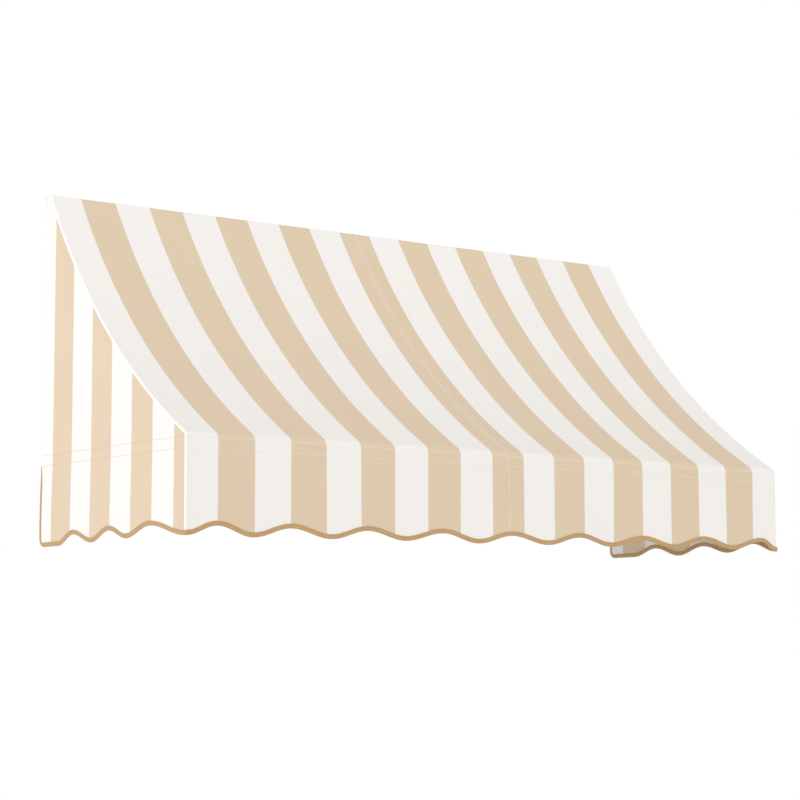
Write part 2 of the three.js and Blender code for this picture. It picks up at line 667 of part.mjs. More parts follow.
const tapeRings = stations.map(({ point, up, out }) => tapeSection.map(([d, n]) => (
  point.clone().addScaledVector(out, d).addScaledVector(up, n)
)));
add(cover, 'edge_binding', solid(sweep(tapeRings)), tapeCloth);

// Wall brackets: bent strap with a wall flange, two lag screw holes and a seat under a tube.
const bentLine = [[0, -SEAT_TOP], [0, SEAT_TOP], [-BRACKET_SEAT, SEAT_TOP]];
const strapLine = roundCorner(bentLine, 1, BRACKET_BEND, BEND_STEPS);
const through = STRAP + 2 * OVERLAP;
const lagBack = -STRAP - OVERLAP;
const lowLag = new THREE.Vector3(0, lagBack, -LAG_SPACING / 2);
const highLag = new THREE.Vector3(0, lagBack, LAG_SPACING / 2);
const seatHole = new THREE.Vector3(0, BACK_Y, SEAT_TOP - STRAP - OVERLAP);
const strap = prism('x', stripOutline(strapLine, STRAP), -STRAP_WIDTH / 2, STRAP_WIDTH / 2)
  .subtract(rod(LAG_HOLE, ROUND, lowLag, Y, through))
  .subtract(rod(LAG_HOLE, ROUND, highLag, Y, through))
  .subtract(rod(SCREW_HOLE, SCREW_SIDES, seatHole, Z, through));

function addBracket(name, x, z, turn) {
  const mesh = add(fixings, name, strap, strapSteel);
  mesh.rotation.y = turn;
  mesh.position.set(x, 0, z);
}

addBracket('bracket_header_left', -HEADER_BRACKET_X, 0, 0);
addBracket('bracket_header_centre', 0, 0, 0);
addBracket('bracket_header_right', HEADER_BRACKET_X, 0, 0);
const CLIP_X = FRAME_INNER - 3 * FIT - CANVAS - SEAT_TOP;
addBracket('side_clip_left', -CLIP_X, CLIP_Z, -Math.PI / 2);
addBracket('side_clip_right', CLIP_X, CLIP_Z, Math.PI / 2);

// Screws: hex washer head, plain shank and drill point, turned about the shank's own axis.
const screwProfile = [
  [0, -WASHER_THICK],
  [WASHER, -WASHER_THICK],
  [WASHER, 0],
  [SCREW, 0],
  [SCREW, SCREW_LENGTH - POINT],
  [0, SCREW_LENGTH],
].map(([r, y]) => new THREE.Vector2(r, y));
const hexHead = new THREE.CylinderGeometry(HEAD, HEAD, HEAD_TALL, 6);
hexHead.translate(0, -HEAD_TALL / 2 - HEAD_SUNK, 0);
const screwBody = solid(new THREE.LatheGeometry(screwProfile, SCREW_SIDES)).add(solid(hexHead));

for (const { name, place, direction } of screws) {
  const mesh = add(fixings, name, screwBody, screwSteel);
  mesh.quaternion.setFromUnitVectors(Y, direction);
  mesh.position.copy(place);
}

export default new THREE.Group().add(frame, cover, fixings);
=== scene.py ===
import json
import math

import bmesh
import bpy
from mathutils import Matrix, Vector, noise
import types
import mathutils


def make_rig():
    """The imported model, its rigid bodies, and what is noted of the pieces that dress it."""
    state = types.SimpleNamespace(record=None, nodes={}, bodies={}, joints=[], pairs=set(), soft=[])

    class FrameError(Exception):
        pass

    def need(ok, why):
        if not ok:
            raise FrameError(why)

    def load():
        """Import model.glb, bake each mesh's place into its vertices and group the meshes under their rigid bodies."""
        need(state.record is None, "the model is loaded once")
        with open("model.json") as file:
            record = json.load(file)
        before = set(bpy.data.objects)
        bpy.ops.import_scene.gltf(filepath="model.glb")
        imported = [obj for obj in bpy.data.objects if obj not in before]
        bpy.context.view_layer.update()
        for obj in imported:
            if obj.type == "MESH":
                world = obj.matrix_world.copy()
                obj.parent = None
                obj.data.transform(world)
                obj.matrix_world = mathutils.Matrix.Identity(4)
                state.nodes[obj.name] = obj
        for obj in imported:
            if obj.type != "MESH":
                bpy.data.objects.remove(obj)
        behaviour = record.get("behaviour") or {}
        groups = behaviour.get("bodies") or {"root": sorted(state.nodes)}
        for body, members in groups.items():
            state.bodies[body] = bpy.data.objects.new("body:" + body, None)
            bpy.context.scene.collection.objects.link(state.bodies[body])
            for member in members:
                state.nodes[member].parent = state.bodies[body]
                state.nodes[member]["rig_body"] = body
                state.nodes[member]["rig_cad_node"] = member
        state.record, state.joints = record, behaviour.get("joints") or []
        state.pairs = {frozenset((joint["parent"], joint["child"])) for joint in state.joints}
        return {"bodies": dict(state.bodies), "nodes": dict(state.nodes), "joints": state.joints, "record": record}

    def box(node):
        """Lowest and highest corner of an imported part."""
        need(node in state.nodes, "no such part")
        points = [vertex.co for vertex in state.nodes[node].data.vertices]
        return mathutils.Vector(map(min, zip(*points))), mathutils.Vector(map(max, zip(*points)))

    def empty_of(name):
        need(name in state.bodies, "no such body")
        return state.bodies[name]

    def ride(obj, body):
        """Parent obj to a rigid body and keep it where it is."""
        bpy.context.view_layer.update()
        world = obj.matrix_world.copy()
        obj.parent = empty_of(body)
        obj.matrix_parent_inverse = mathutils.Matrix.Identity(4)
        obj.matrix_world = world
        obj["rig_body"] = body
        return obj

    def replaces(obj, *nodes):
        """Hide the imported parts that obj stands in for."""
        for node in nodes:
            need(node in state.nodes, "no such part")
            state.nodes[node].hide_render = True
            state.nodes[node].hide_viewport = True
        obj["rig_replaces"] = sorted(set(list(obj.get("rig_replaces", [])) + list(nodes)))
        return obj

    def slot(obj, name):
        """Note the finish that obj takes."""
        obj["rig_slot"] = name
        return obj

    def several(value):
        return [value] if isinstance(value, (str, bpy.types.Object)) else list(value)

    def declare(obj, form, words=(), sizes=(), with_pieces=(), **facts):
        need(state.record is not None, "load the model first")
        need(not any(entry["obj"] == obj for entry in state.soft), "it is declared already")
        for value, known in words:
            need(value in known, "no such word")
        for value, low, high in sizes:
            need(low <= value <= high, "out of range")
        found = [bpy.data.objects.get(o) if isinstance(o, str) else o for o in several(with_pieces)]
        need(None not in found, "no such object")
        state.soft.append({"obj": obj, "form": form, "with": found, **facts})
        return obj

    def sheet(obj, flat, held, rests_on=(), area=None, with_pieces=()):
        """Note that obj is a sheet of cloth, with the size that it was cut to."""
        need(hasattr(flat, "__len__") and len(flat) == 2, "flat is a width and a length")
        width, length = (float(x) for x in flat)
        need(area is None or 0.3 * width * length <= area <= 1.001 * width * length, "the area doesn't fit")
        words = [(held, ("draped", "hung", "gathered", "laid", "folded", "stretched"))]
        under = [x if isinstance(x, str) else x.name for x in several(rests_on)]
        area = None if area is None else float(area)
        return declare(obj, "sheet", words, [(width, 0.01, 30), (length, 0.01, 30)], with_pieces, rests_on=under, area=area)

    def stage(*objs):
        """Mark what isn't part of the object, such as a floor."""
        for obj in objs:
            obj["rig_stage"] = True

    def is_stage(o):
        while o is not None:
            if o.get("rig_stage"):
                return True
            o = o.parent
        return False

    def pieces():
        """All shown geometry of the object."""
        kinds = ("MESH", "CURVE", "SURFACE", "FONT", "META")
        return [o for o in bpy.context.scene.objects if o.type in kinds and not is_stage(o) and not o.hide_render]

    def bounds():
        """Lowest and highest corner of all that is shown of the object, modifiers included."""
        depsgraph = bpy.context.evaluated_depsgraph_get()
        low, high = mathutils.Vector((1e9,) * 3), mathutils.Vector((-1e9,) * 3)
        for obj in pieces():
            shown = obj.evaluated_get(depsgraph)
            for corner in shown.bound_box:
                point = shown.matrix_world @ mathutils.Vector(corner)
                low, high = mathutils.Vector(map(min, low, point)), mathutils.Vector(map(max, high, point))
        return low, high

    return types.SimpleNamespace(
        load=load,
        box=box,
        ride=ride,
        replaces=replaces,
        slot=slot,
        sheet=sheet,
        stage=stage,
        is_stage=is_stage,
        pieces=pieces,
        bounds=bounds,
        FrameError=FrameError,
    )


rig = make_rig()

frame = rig.load()
cad_low, cad_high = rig.bounds()
MM = 0.001

# Studio. A window awning hangs above eye level, so the pale floor lies well below it and the
# camera looks slightly up at its left end. The sky is white and brightest in front, so the inside
# lies in soft shade, and a wide lamp lights the closed side from the left.
FLOOR_MIDDLE = (0, -0.3, -3.6)
FLOOR_RADIUS = 8.0
FLOOR_PALE = (0.80, 0.79, 0.775, 1)
FLOOR_WORN = (0.84, 0.83, 0.815, 1)
CAMERA_PLACE = (-3.2262, -4.5901, -0.9609)
CAMERA_YAW = 36.382
CAMERA_PITCH = 6.187
CAMERA_LENS = 105.67
FILM_WIDTH = 36
SKY_LEAST = 0.27
SKY_RANGE = 1.0
SKY_LEAN = (-0.10, -0.50, -0.02)  # which way the sky grows brighter
LEFT_LAMP = ((-6.5, -0.3, 0.35), 2.4, 134, (0.98, 1.0, 1.06))  # place, size, power, colour
FRONT_LAMP = ((1.5, -5.5, 0.2), 3.5, 8, (1.0, 1.0, 1.0))


class Shade:
    """One output of a finish's node tree. Sums on it add Math nodes."""

    def __init__(self, finish, socket):
        self.finish = finish
        self.socket = socket

    def sum(self, operation, *values, clamp=False):
        settings = {"operation": operation, "use_clamp": clamp}
        return self.finish.node("ShaderNodeMath", settings, dict(enumerate(values)))

    def __add__(self, other):
        return self.sum("ADD", self, other)

    __radd__ = __add__

    def __sub__(self, other):
        return self.sum("SUBTRACT", self, other)

    def __rsub__(self, other):
        return self.sum("SUBTRACT", other, self)

    def __mul__(self, other):
        return self.sum("MULTIPLY", self, other)

    __rmul__ = __mul__

    def __truediv__(self, other):
        return self.sum("DIVIDE", self, other)

    def __abs__(self):
        return self.sum("ABSOLUTE", self)

    def wave(self, length):
        return self.sum("COSINE", self * (math.pi / length))

    def fraction(self):
        return self.sum("FRACT", self)

    def clamped(self):
        return self.sum("ADD", self, 0, clamp=True)


class Finish:
    """A material on the shader's own sockets, with its patterns made of nodes."""

    def __init__(self, name, owner=None, shader="Principled BSDF", **constants):
        self.material = owner or bpy.data.materials.new(name)
        self.material.use_nodes = True
        self.tree = self.material.node_tree
        self.shader = self.tree.nodes[shader]
        for socket, value in constants.items():
            self.shader.inputs[socket.replace("_", " ")].default_value = value

    def node(self, kind, settings=None, sockets=None, output=0):
        made = self.tree.nodes.new(kind)
        for key, value in (settings or {}).items():
            setattr(made, key, value)
        for key, value in (sockets or {}).items():
            if isinstance(value, Shade):
                self.tree.links.new(value.socket, made.inputs[key])
            else:
                made.inputs[key].default_value = value
        return Shade(self, made.outputs[output])

    def mix(self, share, first, second):
        settings = {"data_type": "RGBA"}
        return self.node("ShaderNodeMix", settings, {0: share, 6: first, 7: second}, 2)

    def place(self):
        """Object coordinates, in metres from the middle bracket."""
        return self.node("ShaderNodeTexCoord", output="Object")

    def parts(self, vector):
        made = self.node("ShaderNodeSeparateXYZ", sockets={0: vector})
        return [Shade(self, s) for s in made.socket.node.outputs]

    def vector(self, x, y, z=0.0):
        return self.node("ShaderNodeCombineXYZ", sockets={0: x, 1: y, 2: z})

    def grain(self, where, scale, detail=2.0, rough=0.5):
        sockets = {"Vector": where, "Scale": scale, "Detail": detail, "Roughness": rough}
        return self.node("ShaderNodeTexNoise", None, sockets, "Fac")

    def feed(self, **patterns):
        for socket, value in patterns.items():
            target = self.shader.inputs[socket.replace("_", " ")]
            self.tree.links.new(value.socket, target)

    def relief(self, height, depth, strength=1.0):
        """Height from 0 to 1 as a relief of that depth in metres."""
        sockets = {"Height": height, "Distance": depth, "Strength": strength}
        self.feed(Normal=self.node("ShaderNodeBump", None, sockets))


def srgb(red, green, blue):
    """A dye shade given as 0 to 255 values, as the shader's linear colour."""
    shares = [c / 255 for c in (red, green, blue)]
    return (*[s / 12.92 if s <= 0.04045 else ((s + 0.055) / 1.055) ** 2.4 for s in shares], 1)


def put_in_scene(name, data):
    piece = bpy.data.objects.new(name, data)
    bpy.context.scene.collection.objects.link(piece)
    return piece


bpy.ops.object.select_all(action="DESELECT")
bpy.ops.mesh.primitive_circle_add(
    vertices=96, radius=FLOOR_RADIUS, fill_type="NGON", location=FLOOR_MIDDLE
)
floor = bpy.context.object
floor.name = "floor"
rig.stage(floor)
painted_floor = Finish("painted_floor", Roughness=0.85)
mottle = painted_floor.grain(painted_floor.place(), 1.2)
painted_floor.feed(Base_Color=painted_floor.mix(mottle, FLOOR_PALE, FLOOR_WORN))
floor.data.materials.append(painted_floor.material)

camera = put_in_scene("camera", bpy.data.cameras.new("camera"))
camera.location = CAMERA_PLACE
camera.rotation_euler = (math.radians(90 + CAMERA_PITCH), 0, -math.radians(CAMERA_YAW))
camera.data.sensor_width = FILM_WIDTH
camera.data.lens = CAMERA_LENS
bpy.context.scene.camera = camera

sky = Finish("white_sky", bpy.data.worlds.new("white_sky"), "Background", Color=(1, 1, 1, 1))
toward = sky.parts(sky.node("ShaderNodeTexCoord", output="Generated"))
brighter = sum(t * lean for t, lean in zip(toward, SKY_LEAN))
sky_light = SKY_LEAST + (brighter + 0.5).clamped() * SKY_RANGE
seen = sky.node("ShaderNodeLightPath", output="Is Camera Ray")
sky.feed(Strength=seen + (1 - seen) * sky_light)
bpy.context.scene.world = sky.material
bpy.context.scene.view_settings.view_transform = "Standard"


def soft_lamp(name, lamp, aim):
    light = bpy.data.lights.new(name, "AREA")
    light.shape = "DISK"
    holder = put_in_scene(name, light)
    holder.location, light.size, light.energy, light.color = lamp
    holder.rotation_euler = (aim - holder.location).to_track_quat("-Z", "Y").to_euler()
    holder.visible_camera = False


awning_middle = Vector((cad_low + cad_high) / 2)
soft_lamp("left_lamp", LEFT_LAMP, awning_middle)
soft_lamp("front_lamp", FRONT_LAMP, awning_middle)

# Frame tubes. Cold-rolled 19 mm square tube, galvanised in the strip and then seam welded: a
# header and a front bar, an upright and a level arm at each end, and three rafters roll-bent
# to the hollow of the roof. They push on to cast plugs and are held there by screws.
TUBE = 19 * MM
TUBE_WALL = 1.2 * MM
TUBE_CORNER = 2.2 * MM
RISE = 570 * MM  # front fold to the top of the canvas
TOP_STRIP = 25 * MM  # flat canvas over the header bar
SAG = 53 * MM  # hollow of the roof under its chord
RAFTER_STEPS = 28
METAL_CREASE = 35  # degrees past which an edge stays crisp
ZINC_LIGHT = (0.72, 0.735, 0.74, 1)
ZINC_DARK = (0.50, 0.52, 0.535, 1)

cover_low, cover_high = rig.box("canopy_left")
HALF = -cover_low.x
PROJECTION = -cover_low.y
TOP = cover_high.z
WALL_FACE = cover_high.y  # wall side of the canvas
FOLD = TOP - RISE

roof_top = Vector((-TOP_STRIP, TOP))
roof_foot = Vector((-PROJECTION, FOLD))
chord = roof_foot - roof_top
ROOF_RADIUS = (chord.length_squared / 4 + SAG * SAG) / (2 * SAG)
under_roof = Vector((-chord.y, chord.x)).normalized()
ROOF_CENTRE = roof_top + chord / 2 - under_roof * (ROOF_RADIUS - SAG)

galvanised = Finish("galvanised_steel", Metallic=1.0, Roughness=0.4)
steel_place = galvanised.place()
spangle = galvanised.node(
    "ShaderNodeTexVoronoi", {"feature": "F1"}, {"Vector": steel_place, "Scale": 150.0}, "Color"
)
spangle_tone = galvanised.parts(spangle)[0]
zinc_bloom = galvanised.grain(steel_place, 14.0, 4.0)
zinc_scuff = galvanised.grain(steel_place, 420.0, 3.0, 0.7)
zinc_tone = (spangle_tone * 0.45 + zinc_bloom * 0.6 + zinc_scuff * 0.15 - 0.1).clamped()
galvanised.feed(
    Base_Color=galvanised.mix(zinc_tone, ZINC_DARK, ZINC_LIGHT),
    Roughness=0.3 + spangle_tone * 0.16 + zinc_bloom * 0.14,
)
galvanised.relief(spangle_tone * 0.3 + zinc_scuff * 0.7, 0.00006, 0.5)


def select_only(piece):
    bpy.ops.object.select_all(action="DESELECT")
    piece.select_set(True)
    bpy.context.view_layer.objects.active = piece


def apply_modifier(piece, kind, **settings):
    select_only(piece)
    modifier = piece.modifiers.new(kind.lower(), kind)
    for key, value in settings.items():
        setattr(modifier, key, value)
    bpy.ops.object.modifier_apply(modifier=modifier.name)


def smooth(piece, crease=METAL_CREASE):
    select_only(piece)
    bpy.ops.object.shade_smooth_by_angle(angle=math.radians(crease))


def seat(piece, finish, slot_name, *nodes):
    """Finished piece: place kept in its mesh, material on, riding on the one body."""
    select_only(piece)
    bpy.ops.object.transform_apply(location=True, rotation=True, scale=True)
    piece.data.materials.clear()
    piece.data.materials.append(finish.material)
    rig.ride(piece, "root")
    if slot_name:
        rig.slot(piece, slot_name)
    if nodes:
        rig.replaces(piece, *nodes)
    return piece


def tube_ring(name, centre, turn):
    """Rounded square edge loop of the tube's outside, ready to be drawn out."""
    bpy.ops.object.select_all(action="DESELECT")
    bpy.ops.mesh.primitive_plane_add(size=TUBE, location=centre, rotation=turn)
    ring = bpy.context.object
    ring.name = name
    bpy.ops.object.transform_apply(location=True, rotation=True, scale=True)
    bpy.ops.object.mode_set(mode="EDIT")
    bpy.ops.mesh.select_all(action="SELECT")
    bpy.ops.mesh.bevel(affect="VERTICES", offset=TUBE_CORNER, segments=4)
    bpy.ops.mesh.select_all(action="SELECT")
    bpy.ops.mesh.delete(type="ONLY_FACE")
    bpy.ops.mesh.select_all(action="SELECT")
    return ring


def close_tube(piece, node):
    """Turns the drawn skin outwards and gives it the tube's wall."""
    bpy.ops.mesh.select_all(action="SELECT")
    bpy.ops.mesh.normals_make_consistent(inside=False)
    bpy.ops.object.mode_set(mode="OBJECT")
    apply_modifier(piece, "SOLIDIFY", thickness=TUBE_WALL, offset=-1.0, use_even_offset=True)
    smooth(piece)
    seat(piece, galvanised, "tube_steel", node)


def straight_tube(node, axis):
    low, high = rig.box(node)
    centre = (low + high) / 2
    length = (high - low)[axis]
    centre[axis] = low[axis]
    turn = [(0, math.pi / 2, 0), (math.pi / 2, 0, 0), (0, 0, 0)][axis]
    piece = tube_ring(node + "_tube", centre, turn)
    reach = [0.0, 0.0, 0.0]
    reach[axis] = length
    bpy.ops.mesh.extrude_region_move(TRANSFORM_OT_translate={"value": reach})
    close_tube(piece, node)


for node in ("header_bar", "front_bar"):
    straight_tube(node, 0)
for side in ("left", "right"):
    straight_tube("arm_" + side, 1)
    straight_tube("upright_" + side, 2)


def roof_angle(y, z):
    return math.atan2(z - ROOF_CENTRE.y, y - ROOF_CENTRE.x)


def roof_spot(x, reach, angle):
    return Vector((
        x,
        ROOF_CENTRE.x + reach * math.cos(angle),
        ROOF_CENTRE.y + reach * math.sin(angle),
    ))


def bend_of(node):
    """A bent node's middle across, its radius, and the angles where it starts and ends."""
    points = [v.co for v in frame["nodes"][node].data.vertices]
    angles = [roof_angle(p.y, p.z) for p in points]
    reaches = [(Vector((p.y, p.z)) - ROOF_CENTRE).length for p in points]
    low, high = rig.box(node)
    middle = (low.x + high.x) / 2
    return middle, (max(reaches) + min(reaches)) / 2, max(angles), min(angles)


for node in ("rafter_left", "rafter_centre", "rafter_right"):
    middle, bend, start, end = bend_of(node)
    piece = tube_ring(node + "_tube", roof_spot(middle, bend, start), (start, 0, 0))
    bpy.ops.mesh.spin(
        steps=RAFTER_STEPS, angle=start - end, center=(0, *ROOF_CENTRE), axis=(1, 0, 0)
    )
    close_tube(piece, node)

# Castings. Sand-cast alloy corners, elbows and shoes, fettled and left bare: the parting edges
# are rounded over, the skin is grainy, and the handled edges have gone bright.
CASTING_EDGE = 1.1 * MM
SAME_POINT = 0.02 * MM
EDGE_LEAST = 40  # degrees at which an edge is rounded over
ALLOY_SKIN = (0.44, 0.45, 0.46, 1)
ALLOY_BRIGHT = (0.78, 0.78, 0.77, 1)

cast_alloy = Finish("cast_alloy", Metallic=0.95, Roughness=0.55)
cast_place = cast_alloy.place()
sand = cast_alloy.grain(cast_place, 1100.0, 3.0, 0.6)
flow = cast_alloy.grain(cast_place, 90.0, 3.0)
edge_wear = cast_alloy.node("ShaderNodeNewGeometry", output="Pointiness")
rubbed = ((edge_wear - 0.505) * 14.0).clamped()
cast_tone = (flow * 0.35 + sand * 0.15 + rubbed * 0.7).clamped()
cast_alloy.feed(
    Base_Color=cast_alloy.mix(cast_tone, ALLOY_SKIN, ALLOY_BRIGHT),
    Roughness=0.62 + sand * 0.12 - rubbed * 0.28,
)
cast_alloy.relief(sand * 0.6 + flow * 0.4, 0.0002, 0.7)


def merge_doubles(piece, threshold=SAME_POINT):
    """Joins points that lie together, and stays in edit mode."""
    select_only(piece)
    bpy.ops.object.mode_set(mode="EDIT")
    bpy.ops.mesh.select_all(action="SELECT")
    bpy.ops.mesh.remove_doubles(threshold=threshold)


def ease_edges(piece, radius, segments, least):
    apply_modifier(
        piece, "BEVEL", width=radius, segments=segments, limit_method="ANGLE",
        angle_limit=math.radians(least), use_clamp_overlap=True,
    )


def eased_copy(node, name, radius, finish, slot_name):
    """A node's own shape as a new piece, with its sharp edges rounded over."""
    piece = put_in_scene(name, frame["nodes"][node].data.copy())
    select_only(piece)
    bpy.ops.mesh.customdata_custom_splitnormals_clear()
    merge_doubles(piece)
    bpy.ops.mesh.dissolve_limited(angle_limit=math.radians(2))
    bpy.ops.object.mode_set(mode="OBJECT")
    ease_edges(piece, radius, 3, EDGE_LEAST)
    smooth(piece)
    seat(piece, finish, slot_name, node)


castings = [n for n in frame["nodes"] if n.startswith(("corner_", "elbow_", "shoe_"))]
for node in sorted(castings):
    eased_copy(node, node + "_casting", CASTING_EDGE, cast_alloy, "cast_alloy")

# Wall brackets. Hot-dip galvanised flat strap, 25 by 3 mm, bent to an angle and punched for two
# lag screws and one seat screw. The zinc has dulled unevenly, and its crystals still show.
STRAP_EDGE = 0.6 * MM
STRAP_BRIGHT = (0.66, 0.68, 0.69, 1)
STRAP_DULL = (0.42, 0.44, 0.45, 1)

strap_steel = Finish("strap_steel", Metallic=1.0, Roughness=0.45)
strap_place = strap_steel.place()
dipped = strap_steel.grain(strap_place, 60.0, 4.0)
crystals = strap_steel.node(
    "ShaderNodeTexVoronoi", {"feature": "F1"}, {"Vector": strap_place, "Scale": 210.0}, "Color"
)
crystal_tone = strap_steel.parts(crystals)[1]
strap_tone = (dipped * 0.8 + crystal_tone * 0.3 - 0.1).clamped()
strap_steel.feed(
    Base_Color=strap_steel.mix(strap_tone, STRAP_DULL, STRAP_BRIGHT),
    Roughness=0.36 + dipped * 0.2 + crystal_tone * 0.08,
)
strap_steel.relief(dipped * 0.7 + crystal_tone * 0.3, 0.00012, 0.6)

straps = [n for n in frame["nodes"] if n.startswith(("bracket_", "side_clip_"))]
for node in sorted(straps):
    eased_copy(node, node + "_strap", STRAP_EDGE, strap_steel, "strap_steel")

# Screws. Zinc-plated self-drilling screws with a hexagon on a pressed washer, a rolled thread
# and a drill point. One in each bracket seat, two in each shoe, one in every tube end.
HEX_HEIGHT = 3.6 * MM
HEX_RADIUS = 4.6 * MM
HEX_RIM = 0.5 * MM
HEX_DIMPLE = (0.9 * MM, 0.5 * MM)  # in from the rim, and deep
HEAD_HEIGHT = 4.0 * MM
WASHER_RADIUS = 5.2 * MM
WASHER = 0.9 * MM
THREAD_RADIUS = 2.1 * MM
THREAD_ROOT = 1.65 * MM
THREAD_PITCH = 1.4 * MM
CREST = THREAD_RADIUS / THREAD_ROOT
THREAD_TURN = [(0.35, CREST), (0.12, 1.0), (0.35, 1 / CREST), (0.18, 1.0)]  # shares, widening
SHANK = 12 * MM
POINT = 4 * MM
DRIVEN_TURN = 0.71  # each screw stops this much further round than the last
PLATING_LIGHT = (0.83, 0.84, 0.84, 1)
PLATING_WARM = (0.70, 0.68, 0.60, 1)
UP, BACK, FRONT = (0, 0, 1), (0, 1, 0), (0, -1, 0)
SCREW_WAYS = {
    "screw_header_bracket": UP,
    "screw_header_left": UP,
    "screw_header_right": UP,
    "screw_top_shoe": BACK,
    "screw_front_shoe": FRONT,
    "screw_front_bar": FRONT,
}  # the way that each is driven; the others are driven outwards

plated = Finish("zinc_plating", Metallic=1.0, Roughness=0.28)
plated_place = plated.place()
passivation = plated.grain(plated_place, 260.0, 2.0)
turning = plated.grain(plated_place, 2600.0, 1.0)
plated.feed(
    Base_Color=plated.mix(passivation, PLATING_LIGHT, PLATING_WARM),
    Roughness=0.2 + passivation * 0.16 + turning * 0.06,
)
plated.relief(turning, 0.00003, 0.4)


def pick_faces(piece, test):
    bpy.ops.mesh.select_all(action="DESELECT")
    edit = bmesh.from_edit_mesh(piece.data)
    for face in edit.faces:
        face.select_set(test(face))
    bmesh.update_edit_mesh(piece.data)


def draw_out(rise, scale):
    """Extrudes the picked face upwards and scales it about the screw's axis."""
    bpy.ops.mesh.extrude_region_move(TRANSFORM_OT_translate={"value": (0, 0, rise)})
    bpy.ops.transform.resize(value=(scale, scale, 1), center_override=(0, 0, 0))


bpy.ops.object.select_all(action="DESELECT")
bpy.ops.mesh.primitive_cylinder_add(
    vertices=24, radius=WASHER_RADIUS, depth=WASHER, location=(0, 0, -WASHER / 2)
)
screw = bpy.context.object
screw.name = "screw_pattern"
bpy.ops.object.transform_apply(location=True, rotation=True, scale=True)
bpy.ops.object.mode_set(mode="EDIT")
bpy.context.tool_settings.mesh_select_mode = (False, False, True)
pick_faces(screw, lambda f: f.normal.z > 0.9)
bpy.ops.mesh.inset(thickness=WASHER_RADIUS - THREAD_ROOT)
for share, widening in THREAD_TURN * round(SHANK / THREAD_PITCH):
    draw_out(THREAD_PITCH * share, widening)
draw_out(POINT * 0.55, 0.85)
draw_out(POINT * 0.45, 0.1)
bpy.ops.object.mode_set(mode="OBJECT")
bpy.ops.object.select_all(action="DESELECT")
bpy.ops.mesh.primitive_cylinder_add(
    vertices=6, radius=HEX_RADIUS, depth=HEX_HEIGHT,
    location=(0, 0, HEX_HEIGHT / 2 - HEAD_HEIGHT),
)
hexagon = bpy.context.object
bpy.ops.object.transform_apply(location=True, rotation=True, scale=True)
bpy.ops.object.mode_set(mode="EDIT")
pick_faces(hexagon, lambda f: f.normal.z < -0.9)
bpy.ops.mesh.inset(thickness=HEX_RIM)
bpy.ops.mesh.inset(thickness=HEX_DIMPLE[0])
bpy.ops.transform.translate(value=(0, 0, HEX_DIMPLE[1]))
bpy.ops.object.mode_set(mode="OBJECT")
ease_edges(hexagon, 0.35 * MM, 2, METAL_CREASE)


def join_to(piece, other):
    select_only(piece)
    other.select_set(True)
    bpy.ops.object.join()


join_to(screw, hexagon)
smooth(screw)

for count, node in enumerate(sorted(n for n in frame["nodes"] if n.startswith("screw_"))):
    low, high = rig.box(node)
    outwards = (1 if low.x > 0 else -1, 0, 0)
    named = (w for key, w in SCREW_WAYS.items() if node.startswith(key))
    way = Vector(next(named, outwards))
    axis = max(range(3), key=lambda i: abs(way[i]))
    place = (low + high) / 2
    head_end = low if way[axis] > 0 else high
    place[axis] = head_end[axis] + way[axis] * HEAD_HEIGHT
    facing = way.to_track_quat("Z", "X").to_matrix().to_4x4()
    driven = Matrix.Rotation(count * DRIVEN_TURN, 4, "Z")
    copy = put_in_scene(node + "_plated", screw.data.copy())
    copy.matrix_world = Matrix.Translation(place) @ facing @ driven
    bpy.context.view_layer.update()
    seat(copy, plated, "screw_steel", node)
bpy.data.objects.remove(screw)

# Canvas. Solution-dyed acrylic, woven in 88 mm tan and white stripes that run along the warp,
# so the colour goes right through. The plain weave shows on both faces, with slubs in the weft.
STRIPE = 87.6 * MM
STRIPE_EDGE = 0.5 * MM
YARN = 0.55 * MM
CANVAS = 1.2 * MM
WHITE_YARN = srgb(243, 239, 235)
WHITE_SHADE = srgb(235, 231, 226)
TAN_YARN = srgb(223, 203, 176)
TAN_SHADE = srgb(214, 193, 164)
FOLD_ROW = 6.5 * MM  # upper stitch row under the fold
LOWER_ROW = 29.5 * MM  # lower one
ROW_PULL = 7 * MM  # how far from a row the cloth puckers
SEAM_PULL = 11 * MM

canvas = Finish(
    "striped_canvas", Roughness=0.88, Sheen_Weight=0.12, Sheen_Roughness=0.5, Specular_IOR_Level=0.2
)
woven = canvas.node("ShaderNodeUVMap", {"uv_map": "cut"})
across, along, _ = canvas.parts(woven)
warp_waver = canvas.grain(canvas.vector(across * 9000.0, along * 300.0), 1.0, 0.0)
repeat = across + (warp_waver - 0.5) * (0.6 * MM)
repeat = (repeat / (2 * STRIPE) + 0.5).fraction()
tan_share = ((0.25 - abs(repeat - 0.5)) * (2 * STRIPE / STRIPE_EDGE) + 0.5).clamped()
crossing = across.wave(YARN) * along.wave(YARN)
floats = abs(crossing)
warp_tone = canvas.grain(canvas.vector(across * 1400.0, along * 6.0), 1.0, 1.0)
weft_tone = canvas.grain(canvas.vector(across * 6.0, along * 1100.0), 1.0, 1.0)
slubs = canvas.grain(canvas.vector(across * 40.0, along * 900.0), 1.0, 2.0)
cloudy = canvas.grain(canvas.vector(across * 5.0, along * 5.0), 1.0, 3.0)
yarn_tone = (
    warp_tone * 0.42 + weft_tone * 0.3 + cloudy * 0.5 + (1 - floats) * 0.45 - 0.45
).clamped()
white_cloth = canvas.mix(yarn_tone, WHITE_YARN, WHITE_SHADE)
tan_cloth = canvas.mix(yarn_tone, TAN_YARN, TAN_SHADE)
canvas.feed(
    Base_Color=canvas.mix(tan_share, white_cloth, tan_cloth),
    Roughness=0.8 + floats * 0.06 + slubs * 0.1,
)
hang_x, _, hang_z = canvas.parts(canvas.place())
row_pull = sum(
    (1 - abs(hang_z - FOLD + below) / ROW_PULL).clamped() for below in (FOLD_ROW, LOWER_ROW)
)
